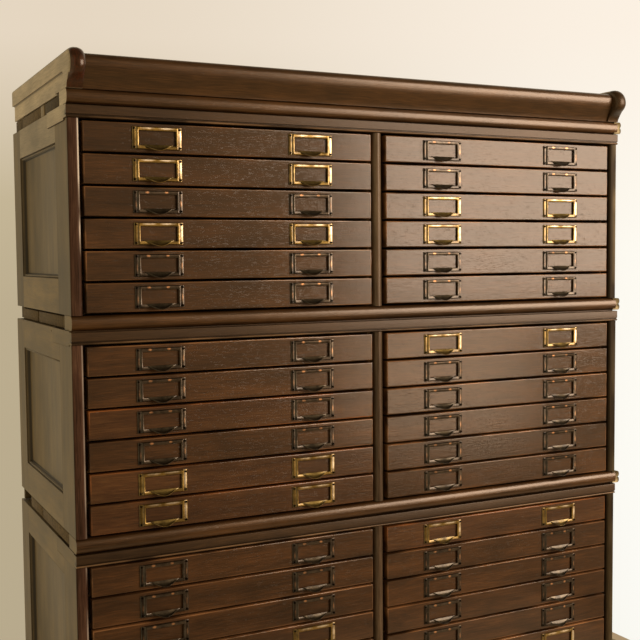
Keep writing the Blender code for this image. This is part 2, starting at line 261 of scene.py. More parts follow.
woodLooks = {
    "drawerFront": {"along": "X", "dark": "#2a190d", "mid": "#3d2613", "light": "#55361c", "wornAndLit": "#a8774c",
                    "roughness": 0.50, "specular": 0.5, "tint": "#efd2aa", "coat": 0.78, "coatRoughness": 0.13,
                    "grain": 1.0},
    "redderFront": {"along": "X", "dark": "#2e1a0e", "mid": "#432916", "light": "#5b3d22", "wornAndLit": "#ac6834",
                    "roughness": 0.50, "specular": 0.5, "tint": "#efd2aa", "coat": 0.78, "coatRoughness": 0.13,
                    "grain": 1.0},
    "moulding": {"along": "X", "dark": "#20160b", "mid": "#332413", "light": "#4b351e", "wornAndLit": "#a5825c",
                 "roughness": 0.48, "specular": 0.45, "tint": "#ffd8ae", "coat": 0.36, "coatRoughness": 0.25,
                 "grain": 0.8},
    "roll": {"along": "X", "dark": "#221509", "mid": "#3a2511", "light": "#52361a", "wornAndLit": "#a5825c",
             "roughness": 0.42, "specular": 0.6, "tint": "#fbd2a2", "coat": 0.86, "coatRoughness": 0.23,
             "grain": 0.9},
    "scroll": {"along": "Z", "dark": "#1c1008", "mid": "#381e10", "light": "#5f2a16", "wornAndLit": "#a67c58",
               "roughness": 0.45, "specular": 0.4, "tint": "#ffd1a0", "coat": 0.60, "coatRoughness": 0.12,
               "grain": 0.7},
    "post": {"along": "Z", "dark": "#2b1d15", "mid": "#473227", "light": "#5e4636", "wornAndLit": "#e6dccb",
             "roughness": 0.55, "specular": 0.12, "tint": "#ffd8ae", "coat": 0.03, "coatRoughness": 0.25,
             "grain": 0.6},
    "rightPost": {"along": "Z", "dark": "#1d180f", "mid": "#2e2617", "light": "#403523", "wornAndLit": "#a0926f",
                  "roughness": 0.55, "specular": 0.15, "tint": "#ffe0bf", "coat": 0.05, "coatRoughness": 0.30,
                  "grain": 0.6},
    "column": {"along": "Z", "dark": "#382b1e", "mid": "#564634", "light": "#6f5e48", "wornAndLit": "#d8c4a6",
               "roughness": 0.48, "specular": 0.4, "tint": "#ffe0bf", "coat": 0.30, "coatRoughness": 0.25,
               "grain": 0.6},
    "sideUpright": {"along": "Z", "dark": "#4f4024", "mid": "#615030", "light": "#705e3c", "wornAndLit": "#8a7650",
                    "roughness": 0.58, "specular": 0.5, "tint": "#ffffff", "coat": 0.05, "coatRoughness": 0.40,
                    "grain": 0.6},
    "sideLevel": {"along": "Y", "dark": "#544324", "mid": "#665431", "light": "#75623e", "wornAndLit": "#8a7650",
                  "roughness": 0.58, "specular": 0.5, "tint": "#ffffff", "coat": 0.05, "coatRoughness": 0.40,
                  "grain": 0.6},
    "crownSide": {"along": "Y", "dark": "#90826a", "mid": "#a99980", "light": "#bcad92", "wornAndLit": "#8a7650",
                  "roughness": 0.58, "specular": 0.5, "tint": "#ffffff", "coat": 0.05, "coatRoughness": 0.40,
                  "grain": 0.6},
}
# Length and width in millimetres of the marks in the wood, and how fine their detail is
woodMarks = {"streak": (36, 1.4, 5.0), "figure": (240, 20, 3.0), "pore": (10, 0.8, 2.0), "cloud": (90, 40, 2.0)}


def stainedWood(name, look):
    # Hardwood stained dark and varnished: fine streaks and a broad figure, short dark pores and a low gloss.
    # Edges marked pale are partly real abrasion and partly painted highlight, and places marked for darkening are
    # darkened, mostly as painted shade.
    material, tree = newMaterial(name)
    axis = "XYZ".index(look["along"])
    place = addNode(tree, "ShaderNodeTexCoord", -1800, 0)
    wander = addNode(tree, "ShaderNodeTexNoise", -1600, -200, {"Scale": 7.0, "Detail": 2.0},
                     {"Vector": place.outputs["Object"]})
    offset = addNode(tree, "ShaderNodeVectorMath", -1400, -200,
                     {"operation": "MULTIPLY_ADD", 1: (0.012, 0.012, 0.012), 2: (-0.006, -0.006, -0.006)},
                     {0: wander.outputs["Color"]})
    bent = addNode(tree, "ShaderNodeVectorMath", -1200, 0, {"operation": "ADD"},
                   {0: place.outputs["Object"], 1: offset.outputs["Vector"]})
    marks = {}
    for mark, (along, across, detail) in woodMarks.items():
        scale = [1 / (across * mm)] * 3
        scale[axis] = 1 / (along * mm)
        spread = addNode(tree, "ShaderNodeMapping", -1000, -300 * len(marks), {"Scale": scale},
                         {"Vector": bent.outputs["Vector"]})
        noise = addNode(tree, "ShaderNodeTexNoise", -800, -300 * len(marks),
                        {"Scale": 1.0, "Detail": detail, "Roughness": 0.6}, {"Vector": spread.outputs["Vector"]})
        marks[mark] = noise.outputs["Fac"]
    streaks = addNode(tree, "ShaderNodeMath", -600, 0, {"operation": "MULTIPLY", 1: 0.56}, {0: marks["streak"]})
    mixed = addNode(tree, "ShaderNodeMath", -400, 0, {"operation": "MULTIPLY_ADD", 1: 0.44},
                    {0: marks["figure"], 2: streaks.outputs["Value"]})
    ramp = addNode(tree, "ShaderNodeValToRGB", -200, 0, {}, {"Fac": mixed.outputs["Value"]})
    ramp.color_ramp.elements[0].position = 0.36
    ramp.color_ramp.elements[0].color = linear(look["dark"])
    ramp.color_ramp.elements[1].position = 0.66
    ramp.color_ramp.elements[1].color = linear(look["light"])
    ramp.color_ramp.elements.new(0.50).color = linear(look["mid"])
    poreMask = addNode(tree, "ShaderNodeMapRange", -200, -300,
                       {"From Min": 0.60, "From Max": 0.74, "To Min": 0.0, "To Max": 0.75 * look["grain"]},
                       {"Value": marks["pore"]})
    pored = addNode(tree, "ShaderNodeMix", 100, 0, {"data_type": "RGBA", 7: linear("#150b04")},
                    {0: poreMask.outputs["Result"], 6: ramp.outputs["Color"]})
    tone = addNode(tree, "ShaderNodeAttribute", -800, 300, {"attribute_name": "tone"})
    warmth = addNode(tree, "ShaderNodeMapRange", -200, 300, {"To Min": 0.55, "To Max": 1.45},
                     {"Value": tone.outputs["Fac"]})
    clouded = addNode(tree, "ShaderNodeMapRange", -200, 550,
                      {"From Min": 0.3, "From Max": 0.7, "To Min": 0.74, "To Max": 1.26}, {"Value": marks["cloud"]})
    level = addNode(tree, "ShaderNodeMath", 0, 400, {"operation": "MULTIPLY"},
                    {0: warmth.outputs["Result"], 1: clouded.outputs["Result"]})
    toned = addNode(tree, "ShaderNodeHueSaturation", 300, 0, {"Saturation": 1.0},
                    {"Value": level.outputs["Value"], "Color": pored.outputs[2]})
    wearAndHighlight = addNode(tree, "ShaderNodeAttribute", 100, 700, {"attribute_name": "wearAndHighlight"})
    ragged = addNode(tree, "ShaderNodeMapRange", 300, 600,
                     {"From Min": 0.38, "From Max": 0.62, "To Min": -0.15, "To Max": 1.10},
                     {"Value": marks["cloud"]})
    wearAndHighlightMask = addNode(tree, "ShaderNodeMath", 600, 600, {"operation": "MULTIPLY", "use_clamp": True},
                       {0: ragged.outputs["Result"], 1: wearAndHighlight.outputs["Fac"]})
    final = addNode(tree, "ShaderNodeMix", 750, 0, {"data_type": "RGBA", 7: linear(look["wornAndLit"])},
                    {0: wearAndHighlightMask.outputs["Value"], 6: toned.outputs["Color"]})
    darkening = addNode(tree, "ShaderNodeAttribute", 600, 900, {"attribute_name": "darkening"})
    final = addNode(tree, "ShaderNodeMix", 900, 0, {"data_type": "RGBA", 7: linear("#1c140a")},
                    {0: darkening.outputs["Fac"], 6: final.outputs[2]})
    gloss = addNode(tree, "ShaderNodeMapRange", 500, -300,
                    {"From Min": 0.3, "From Max": 0.7, "To Min": look["roughness"] - 0.04,
                     "To Max": look["roughness"] + 0.06}, {"Value": marks["streak"]})
    height = addNode(tree, "ShaderNodeMath", 300, -500, {"operation": "SUBTRACT"},
                     {0: marks["streak"], 1: poreMask.outputs["Result"]})
    bump = addNode(tree, "ShaderNodeBump", 500, -500, {"Strength": 0.30 * look["grain"], "Distance": 0.0003},
                   {"Height": height.outputs["Value"]})
    shader = addNode(tree, "ShaderNodeBsdfPrincipled", 1000, 0,
                     {"IOR": 1.5, "Specular IOR Level": look["specular"], "Specular Tint": linear(look["tint"]),
                      "Coat Weight": look["coat"], "Coat Roughness": look["coatRoughness"]},
                     {"Base Color": final.outputs[2], "Roughness": gloss.outputs["Result"],
                      "Normal": bump.outputs["Normal"], "Coat Normal": bump.outputs["Normal"]})
    addNode(tree, "ShaderNodeOutputMaterial", 1300, 0, {}, {"Surface": shader.outputs["BSDF"]})
    return material


frontWood = stainedWood("stained_varnished_hardwood_front", woodLooks["drawerFront"])
redFrontWood = stainedWood("stained_varnished_hardwood_redder_front", woodLooks["redderFront"])
rollWood = stainedWood("stained_varnished_hardwood_roll", woodLooks["roll"])
rightPostWood = stainedWood("stained_hardwood_right_post", woodLooks["rightPost"])
mouldingWood = stainedWood("stained_varnished_hardwood_moulding", woodLooks["moulding"])
scrollWood = stainedWood("stained_varnished_hardwood_scroll", woodLooks["scroll"])
postWood = stainedWood("stained_hardwood_post", woodLooks["post"])
columnWood = stainedWood("stained_hardwood_column", woodLooks["column"])
sideUprightWood = stainedWood("aged_varnished_side_wood_upright", woodLooks["sideUpright"])
sideLevelWood = stainedWood("aged_varnished_side_wood_level", woodLooks["sideLevel"])
crownSideWood = stainedWood("bleached_varnished_crown_end", woodLooks["crownSide"])

bareLooks = {
    "box": {"along": "Y", "dark": "#8a6a45", "light": "#b99a70", "roughness": 0.68, "saw": 0.0},
    "boxAcross": {"along": "X", "dark": "#7c5d3b", "light": "#a98a62", "roughness": 0.70, "saw": 0.0},
    "backPlank": {"along": "Z", "dark": "#5c452c", "light": "#8a6d4a", "roughness": 0.75, "saw": 0.3},
    "sawnEnd": {"along": "X", "dark": "#3a2c1a", "light": "#6a5839", "roughness": 0.85, "saw": 1.0},
}


def bareWood(name, look):
    # Planed or sawn wood with no finish: pale, matt, with streaks and the marks of the saw
    material, tree = newMaterial(name)
    axis = "XYZ".index(look["along"])
    scale = [1000 / 2.5] * 3
    scale[axis] = 1000 / 120
    place = addNode(tree, "ShaderNodeTexCoord", -1200, 0)
    spread = addNode(tree, "ShaderNodeMapping", -1000, 0, {"Scale": scale}, {"Vector": place.outputs["Object"]})
    streak = addNode(tree, "ShaderNodeTexNoise", -800, 0, {"Scale": 1.0, "Detail": 6.0, "Roughness": 0.65},
                     {"Vector": spread.outputs["Vector"]})
    sawSpread = addNode(tree, "ShaderNodeMapping", -1000, -300, {"Scale": (60, 1000 / 2.2, 60)},
                        {"Vector": place.outputs["Object"]})
    saw = addNode(tree, "ShaderNodeTexNoise", -800, -300, {"Scale": 1.0, "Detail": 2.0},
                  {"Vector": sawSpread.outputs["Vector"]})
    marks = addNode(tree, "ShaderNodeMath", -600, -300, {"operation": "MULTIPLY", 1: 0.6 * look["saw"]},
                    {0: saw.outputs["Fac"]})
    both = addNode(tree, "ShaderNodeMath", -400, 0, {"operation": "SUBTRACT"},
                   {0: streak.outputs["Fac"], 1: marks.outputs["Value"]})
    ramp = addNode(tree, "ShaderNodeValToRGB", -200, 0, {}, {"Fac": both.outputs["Value"]})
    ramp.color_ramp.elements[0].position = 0.34 - 0.3 * look["saw"]
    ramp.color_ramp.elements[0].color = linear(look["dark"])
    ramp.color_ramp.elements[1].position = 0.66 - 0.3 * look["saw"]
    ramp.color_ramp.elements[1].color = linear(look["light"])
    tone = addNode(tree, "ShaderNodeAttribute", -400, 300, {"attribute_name": "tone"})
    level = addNode(tree, "ShaderNodeMapRange", -200, 300, {"To Min": 0.55, "To Max": 1.45},
                    {"Value": tone.outputs["Fac"]})
    toned = addNode(tree, "ShaderNodeHueSaturation", 100, 0, {},
                    {"Value": level.outputs["Result"], "Color": ramp.outputs["Color"]})
    bump = addNode(tree, "ShaderNodeBump", 100, -300, {"Strength": 0.35, "Distance": 0.0006},
                   {"Height": both.outputs["Value"]})
    shader = addNode(tree, "ShaderNodeBsdfPrincipled", 400, 0, {"IOR": 1.45, "Roughness": look["roughness"]},
                     {"Base Color": toned.outputs["Color"], "Normal": bump.outputs["Normal"]})
    addNode(tree, "ShaderNodeOutputMaterial", 700, 0, {}, {"Surface": shader.outputs["BSDF"]})
    return material


boxWood = bareWood("planed_bare_box_wood", bareLooks["box"])
boxCrossWood = bareWood("planed_bare_box_wood_across", bareLooks["boxAcross"])
backWood = bareWood("sawn_bare_back_wood", bareLooks["backPlank"])
sawnEndWood = bareWood("sawn_board_ends", bareLooks["sawnEnd"])

metalLooks = {
    "brass": {"bright": "#b39550", "dull": "#7e6632", "stain": "#4a3818", "wornAndLit": "#fff0d0",
              "roughness": 0.40, "coat": 1.0, "coatRoughness": 0.14},
    "bronze": {"bright": "#625748", "dull": "#41382d", "stain": "#241e18", "wornAndLit": "#dfa878",
               "roughness": 0.42, "coat": 0.7, "coatRoughness": 0.16},
    "tarnishAndShade": {"bright": "#85723e", "dull": "#564724", "stain": "#2f2714", "wornAndLit": "#85723e",
                "roughness": 0.44, "coat": 0.6, "coatRoughness": 0.20},
    "darkTongue": {"bright": "#4f4636", "dull": "#2f291f", "stain": "#1e1913", "wornAndLit": "#4f4636",
                   "roughness": 0.44, "coat": 0.6, "coatRoughness": 0.20},
    "pin": {"bright": "#1c1711", "dull": "#100c08", "stain": "#0a0806", "wornAndLit": "#1c1711",
            "roughness": 0.70, "coat": 0.0, "coatRoughness": 0.30},
    "strip": {"bright": "#8d8264", "dull": "#6b6046", "stain": "#2f2819", "wornAndLit": "#6f6444",
              "roughness": 0.58, "coat": 0.1, "coatRoughness": 0.30},
}


def stampedMetal(name, look, copperSpots):
    # Sheet metal stamped and lacquered long ago: soft gloss, mottled dull and bright, and pale
    # at the given places, which on brass also hold a painted highlight
    material, tree = newMaterial(name)
    place = addNode(tree, "ShaderNodeTexCoord", -1400, 0)
    mottle = addNode(tree, "ShaderNodeTexNoise", -1100, 0, {"Scale": 110.0, "Detail": 4.0, "Roughness": 0.55},
                     {"Vector": place.outputs["Object"]})
    specks = addNode(tree, "ShaderNodeTexNoise", -1100, -300, {"Scale": 620.0, "Detail": 3.0},
                     {"Vector": place.outputs["Object"]})
    ramp = addNode(tree, "ShaderNodeValToRGB", -800, 0, {}, {"Fac": mottle.outputs["Fac"]})
    ramp.color_ramp.elements[0].position = 0.36
    ramp.color_ramp.elements[0].color = linear(look["dull"])
    ramp.color_ramp.elements[1].position = 0.62
    ramp.color_ramp.elements[1].color = linear(look["bright"])
    speckMask = addNode(tree, "ShaderNodeMapRange", -800, -300,
                        {"From Min": 0.60, "From Max": 0.74, "To Max": 0.5}, {"Value": specks.outputs["Fac"]})
    stained = addNode(tree, "ShaderNodeMix", -500, 0, {"data_type": "RGBA", 7: linear(look["stain"])},
                      {0: speckMask.outputs["Result"], 6: ramp.outputs["Color"]})
    colour = stained.outputs[2]
    if copperSpots:
        plate = addNode(tree, "ShaderNodeUVMap", -1400, 600, {"uv_map": "plate"})
        total = None
        for spotX, spotY, sizeX, sizeY, weight in copperSpots:
            moved = addNode(tree, "ShaderNodeVectorMath", -1100, 600 + 200 * spotX,
                            {"operation": "SUBTRACT", 1: (spotX, spotY, 0.0)}, {0: plate.outputs["UV"]})
            scaled = addNode(tree, "ShaderNodeVectorMath", -900, 600 + 200 * spotX,
                             {"operation": "MULTIPLY", 1: (1 / sizeX, 1 / sizeY, 0.0)},
                             {0: moved.outputs["Vector"]})
            reach = addNode(tree, "ShaderNodeVectorMath", -700, 600 + 200 * spotX, {"operation": "LENGTH"},
                            {0: scaled.outputs["Vector"]})
            spot = addNode(tree, "ShaderNodeMapRange", -500, 600 + 200 * spotX,
                           {"From Min": 0.35, "From Max": 1.0, "To Min": weight, "To Max": 0.0},
                           {"Value": reach.outputs["Value"]})
            if total is None:
                total = spot.outputs["Result"]
            else:
                total = addNode(tree, "ShaderNodeMath", -300, 600 + 200 * spotX, {"operation": "MAXIMUM"},
                                {0: total, 1: spot.outputs["Result"]}).outputs["Value"]
        uneven = addNode(tree, "ShaderNodeMapRange", -500, 300,
                         {"From Min": 0.40, "From Max": 0.58, "To Min": 0.40, "To Max": 1.2},
                         {"Value": mottle.outputs["Fac"]})
        rubbedAndLit = addNode(tree, "ShaderNodeMath", -200, 400, {"operation": "MULTIPLY", "use_clamp": True},
                         {0: total, 1: uneven.outputs["Result"]})
        colour = addNode(tree, "ShaderNodeMix", 0, 0, {"data_type": "RGBA", 7: linear(look["wornAndLit"])},
                         {0: rubbedAndLit.outputs["Value"], 6: colour}).outputs[2]
        # Painted shade: the left and bottom bars are darkened
        across = addNode(tree, "ShaderNodeSeparateXYZ", -1100, 1000, {}, {"Vector": plate.outputs["UV"]})
        leftBarShade = addNode(tree, "ShaderNodeMapRange", -500, 1000,
                          {"From Min": 0.085, "From Max": 0.115, "To Min": 0.62, "To Max": 1.0},
                          {"Value": across.outputs["X"]})
        lowBarShade = addNode(tree, "ShaderNodeMapRange", -500, 1200,
                         {"From Min": 0.14, "From Max": 0.20, "To Min": 0.62, "To Max": 1.0},
                         {"Value": across.outputs["Y"]})
        both = addNode(tree, "ShaderNodeMath", -300, 1000, {"operation": "MULTIPLY"},
                       {0: leftBarShade.outputs["Result"], 1: lowBarShade.outputs["Result"]})
        colour = addNode(tree, "ShaderNodeHueSaturation", 100, 0, {},
                         {"Value": both.outputs["Value"], "Color": colour}).outputs["Color"]
    gloss = addNode(tree, "ShaderNodeMapRange", -200, -300,
                    {"From Min": 0.3, "From Max": 0.7, "To Min": look["roughness"] + 0.08,
                     "To Max": look["roughness"] - 0.06}, {"Value": mottle.outputs["Fac"]})
    bump = addNode(tree, "ShaderNodeBump", -200, -550, {"Strength": 0.06, "Distance": 0.0002},
                   {"Height": specks.outputs["Fac"]})
    shader = addNode(tree, "ShaderNodeBsdfPrincipled", 300, 0, {"Metallic": 1.0, "Coat Weight": look["coat"],
                      "Coat Roughness": look["coatRoughness"]},
                     {"Base Color": colour, "Roughness": gloss.outputs["Result"],
                      "Normal": bump.outputs["Normal"]})
    addNode(tree, "ShaderNodeOutputMaterial", 600, 0, {}, {"Surface": shader.outputs["BSDF"]})
    return material


# Places pale from rubbing on a pull, as x, y, width and height on the plate map, and strength; on brass the band along
# the right bar is a painted highlight as well as real abrasion
rubbedAndLitBrass = ((0.30, 0.93, 0.16, 0.06, 0.80), (0.68, 0.93, 0.18, 0.06, 0.95), (0.955, 0.56, 0.035, 0.55, 1.05))
wornPlaces = ((0.27, 0.92, 0.05, 0.07, 1.0), (0.66, 0.92, 0.045, 0.065, 1.0), (0.96, 0.45, 0.02, 0.20, 0.45),
              (0.05, 0.40, 0.02, 0.20, 0.35))
agedBrass = stampedMetal("stamped_aged_brass", metalLooks["brass"], rubbedAndLitBrass)
blackBronze = stampedMetal("stamped_blackened_bronze", metalLooks["bronze"], wornPlaces)
# The tongues get darker metals: tarnished metal and painted shade
tarnishedShadedBrass = stampedMetal("tarnished_shaded_brass_tongue", metalLooks["tarnishAndShade"], ())
darkBronze = stampedMetal("dark_bronze_tongue", metalLooks["darkTongue"], ())
# Near-black metal for the pins, also laid on the window walls of the pulls as painted shade
pinSteelAndWindowShade = stampedMetal("domed_pin_steel_and_window_shade", metalLooks["pin"], ())
stripBrass = stampedMetal("drawn_brass_strip", metalLooks["strip"], ())
print("finishes ready")


# Sides: front stile with the rounded post, back stile, two rails, and a sunk panel

sideForm = {
    "postWidth": 15.0 * mm, "postSetback": 0.5 * mm, "outerRound": 2.0 * mm, "innerRound": 5.5 * mm,
    "frontStile": 67 * mm, "backStile": 50 * mm, "topRail": 41 * mm, "bottomRail": 45 * mm,
    "fasciaHeight": 17 * mm, "fasciaThickness": 12 * mm, "railDepth": 105 * mm, "railThickness": 19.5 * mm,
    "floor": -pitch + 18.3 * mm + seam, "linedWidth": 2.8 * mm, "liningStart": 17.5 * mm,
    # How dark the painted shade is at the inner edge of each step of the bead below
    "grooveShade": (0.85, 0.15, 0.0, 0.3, 0.8, 0.9, 0.0),
    "bead": ((0.6, 2.4), (0.8, -0.7), (1.2, -0.2), (0.8, 1.0), (0.7, 2.1), (0.7, 1.9), (1.0, 0.7)),
}
ledgeForm = {"width": 9 * mm, "thickness": 4.5 * mm, "start": 20 * mm, "end": 330 * mm,
             "firstTop": -17 * mm - 39.75 * mm + 5.2 * mm, "rowPitch": 39.75 * mm}


def ledgeSet(name, wall, toward):
    # Six thin ledges nailed to one wall, each with its front end rounded
    form = ledgeForm
    pieces = []
    for row in range(6):
        top = form["firstTop"] - row * form["rowPitch"]
        ends = sorted((wall, wall + toward * form["width"]))
        ledge = plank(name, (ends[0], form["start"], top - form["thickness"]), (ends[1], form["end"], top))
        editMode(ledge)
        pickEdges(ledge, lambda a, b: a.y < form["start"] + mm and b.y < form["start"] + mm
                  and abs(a.z - b.z) > mm)
        bpy.ops.mesh.bevel(offset=3 * mm, segments=3, affect="EDGES")
        objectMode()
        pieces.append(ledge)
    return joined(name, pieces)


def leftSide():
    form = sideForm
    outer = -halfWidth
    inner = outer + form["postWidth"]
    low = form["floor"]
    stileFace = [(0.5 * mm, low), (form["frontStile"], low), (form["frontStile"], -form["railThickness"] - seam),
                 (form["fasciaThickness"] + seam, -form["railThickness"] - seam),
                 (form["fasciaThickness"] + seam, -form["fasciaHeight"] - seam),
                 (0.5 * mm, -form["fasciaHeight"] - seam)]
    post = drawn("post", [(outer, y, z) for y, z in stileFace], (form["postWidth"], 0, 0))
    editMode(post)
    front = form["postSetback"] + 0.1 * mm
    pickEdges(post, lambda a, b: a.y < front and b.y < front and abs(a.x - outer) < 1e-5
              and abs(b.x - outer) < 1e-5)
    bpy.ops.mesh.bevel(offset=form["outerRound"], segments=5, affect="EDGES")
    pickEdges(post, lambda a, b: a.y < front and b.y < front and abs(a.x - inner) < 1e-5
              and abs(b.x - inner) < 1e-5)
    bpy.ops.mesh.bevel(offset=form["innerRound"], segments=8, affect="EDGES")
    # A line close behind the outer round keeps the flat face flat in the shading
    bpy.ops.mesh.select_all(action="SELECT")
    bpy.ops.mesh.bisect(plane_co=(0, 0.5 * mm + form["outerRound"] + 0.8 * mm, 0), plane_no=(0, 1, 0))
    objectMode()
    easeEdges(post, 0.25 * mm, 1, 60)
    # The inner arris gets a painted highlight, and the outer face is darkened along its rounded front edge
    wearAndHighlight = post.data.attributes.new("wearAndHighlight", "FLOAT", "POINT")
    for point, value in zip(post.data.vertices, wearAndHighlight.data):
        value.value = float(point.co.x > inner - 0.6 * form["innerRound"] and point.co.y < 0.55 * form["innerRound"])
    darkening = post.data.attributes.new("darkening", "FLOAT", "POINT")
    for point, value in zip(post.data.vertices, darkening.data):
        value.value = 0.6 if point.co.x < outer + 0.1 * mm and point.co.y < form["outerRound"] * 1.3 else 0.0

    back = depth - form["backStile"]
    backStile = plank("backStile", (outer, back, low), (inner, depth, -seam))
    easeEdges(backStile, 0.35 * mm, 1)
    railFace = [(form["frontStile"], -form["topRail"]), (back, -form["topRail"]), (back, -seam),
                (form["railDepth"] + seam, -seam), (form["railDepth"] + seam, -form["railThickness"] - seam),
                (form["frontStile"], -form["railThickness"] - seam)]
    topRail = drawn("topRail", [(outer, y, z) for y, z in railFace], (form["postWidth"], 0, 0))
    bottomRail = plank("bottomRail", (outer, form["frontStile"], low),
                       (inner, back, low + form["bottomRail"]))
    rails = joined("rails", [topRail, bottomRail])
    easeEdges(rails, 0.25 * mm, 1)

    # The panel starts as a flat sheet over the opening, and each inset lays one step of its bead
    openLow = low + form["bottomRail"]
    openHigh = -form["topRail"]
    bpy.ops.object.select_all(action="DESELECT")
    bpy.ops.mesh.primitive_plane_add(size=1, location=(outer, (form["frontStile"] + back) / 2,
                                                       (openLow + openHigh) / 2),
                                     rotation=(0, math.radians(-90), 0),
                                     scale=(1, 1, 1))
    panel = bpy.context.object
    panel.scale = (openHigh - openLow, back - form["frontStile"], 1)
    panel.name = "panel"
    bpy.ops.object.transform_apply(location=True, rotation=True, scale=True)
    editMode(panel)
    bpy.ops.mesh.select_all(action="SELECT")
    for width, drop in form["bead"]:
        bpy.ops.mesh.inset(thickness=width * mm, depth=-drop * mm, use_boundary=True)
    objectMode()
    # Painted shade lies in the grooves of the bead and along the panel's sunk edge
    reach = 0
    shadedReaches = []
    for (width, drop), grooveShade in zip(form["bead"], form["grooveShade"]):
        reach += width * mm
        shadedReaches.append((reach, grooveShade))
    darkening = panel.data.attributes.new("darkening", "FLOAT", "POINT")
    for point, value in zip(panel.data.vertices, darkening.data):
        inward = min(point.co.y - form["frontStile"], back - point.co.y, point.co.z - openLow, openHigh - point.co.z)
        value.value = next((grooveShade for reach, grooveShade in shadedReaches if abs(inward - reach) < 0.05 * mm), 0.0)
    applyModifier(panel, "SOLIDIFY", thickness=2.5 * mm, offset=-1.0)
    smooth(panel, 50)
    return post, backStile, rails, panel


sideParts = dict(zip(("front_stile", "back_stile", "rails", "panel"), leftSide()))
sideParts["lining"] = joined("lining", [
    plank("lining", (-halfWidth + sideForm["postWidth"], sideForm["liningStart"], sideForm["floor"]),
          (-halfWidth + sideForm["postWidth"] + sideForm["linedWidth"], depth - 12.5 * mm, -17.3 * mm)),
    ledgeSet("ledges", -halfWidth + sideForm["postWidth"] + sideForm["linedWidth"], 1)])
for part, piece in sideParts.items():
    if part not in ("panel",):
        smooth(piece, 40)
sideFinish = {"front_stile": sideUprightWood, "back_stile": sideUprightWood, "rails": sideLevelWood,
              "panel": sideUprightWood, "lining": boxWood}
for part, piece in sideParts.items():
    paint(piece, sideFinish[part])
# The front stile is pale on its outer face, and its rounded post has the stain of the fronts
sideParts["front_stile"].data.materials.append(postWood)
for face in sideParts["front_stile"].data.polygons:
    if face.center.y < sideForm["liningStart"] and face.normal.x > -0.98:
        face.material_index = 1
sideKit = {"left": sideParts, "right": {part: mirrored(part, piece) for part, piece in sideParts.items()}}
# The right post gets a painted highlight along its outer arris and painted shade on its inner side
rightPost = sideKit["right"]["front_stile"].data
for point, value in zip(rightPost.vertices, rightPost.attributes["wearAndHighlight"].data):
    value.value = 0.5 * (point.co.x > halfWidth - 1.1 * sideForm["outerRound"] and point.co.y < 17 * mm)
for point, value in zip(rightPost.vertices, rightPost.attributes["darkening"].data):
    value.value = 0.85 * (point.co.x < halfWidth - sideForm["postWidth"] + 2 * mm)
rightPost.materials[1] = rightPostWood

# The boards high up are the palest, where the light has bleached them
sideTones = {"upper": {"front_stile": 0.08, "back_stile": 0.12, "rails": 0.66, "panel": 0.42, "lining": 0.5},
             "middle": {"front_stile": 0.46, "back_stile": 0.50, "rails": 0.50, "panel": 0.50, "lining": 0.5},
             "lower": {"front_stile": 0.46, "back_stile": 0.50, "rails": 0.50, "panel": 0.46, "lining": 0.5}}
# How strong the painted highlight on the post's arris is in each section
postHighlight = {"upper": 1.0, "middle": 0.30, "lower": 0.35}
for section in sections:
    for sideName, parts in sideKit.items():
        for part, piece in parts.items():
            board = copied(f"{section}_{sideName}_{part}", piece, corner[section])
            tone = sideTones[section][part] + random.uniform(-0.05, 0.05)
            setTone(board, tone)
            bleached = section == "upper" and sideName == "left"
            for point, value in zip(board.data.vertices, board.data.attributes["tone"].data):
                if part == "front_stile" and abs(point.co.x - corner[section].x) < halfWidth - 0.05 * mm:
                    value.value = 0.5
                elif bleached and part != "panel" and point.co.z > corner["upper"].z - 45 * mm:
                    value.value = 0.12 if part == "rails" else tone + 0.34
            # The top rail of the upper left side is bleached, and undersides take the dark sawn-end finish, raw wood
            # that also serves as painted shade under the boards
            board.data.materials.append(crownSideWood)
            board.data.materials.append(sawnEndWood)
            for face in board.data.polygons:
                if bleached and part == "rails" and face.center.z > corner["upper"].z - 45 * mm:
                    face.material_index = len(board.data.materials) - 2
                if part != "lining" and face.normal.z < -0.9 and face.center.z < corner[section].z - pitch / 2:
                    face.material_index = len(board.data.materials) - 1
            if part == "front_stile":
                for value in board.data.attributes["wearAndHighlight"].data:
                    value.value *= postHighlight[section]
            nodes = [f"{section}_{sideName}_side"] if part == "front_stile" else []
            fit(board, "case", "case_side_wood", *nodes)
discard(*[piece for parts in sideKit.values() for piece in parts.values()])
# One old nail in the left side, behind the end of the middle top rail
nailForm = {"radius": 1.5 * mm, "height": -5.5 * mm, "behindFront": 113 * mm}
bpy.ops.object.select_all(action="DESELECT")
bpy.ops.mesh.primitive_cylinder_add(vertices=16, radius=nailForm["radius"], depth=1.2 * mm,
                                    location=(-halfWidth + 0.45 * mm, nailForm["behindFront"], nailForm["height"]),
                                    rotation=(0, math.radians(90), 0))
nail = bpy.context.object
bpy.ops.object.transform_apply(location=True, rotation=True, scale=True)
editMode(nail)
pickFaces(nail, lambda middle, normal: normal.x < -0.9)
bpy.ops.mesh.bevel(offset=0.4 * mm, segments=2, affect="EDGES")
objectMode()
paint(nail, pinSteelAndWindowShade)
board = copied("middle_left_nail", nail, corner["middle"])
discard(nail)
fit(board, "case", "case_side_wood")
print("sides built")


# Centre partition: a wall behind a half-round column

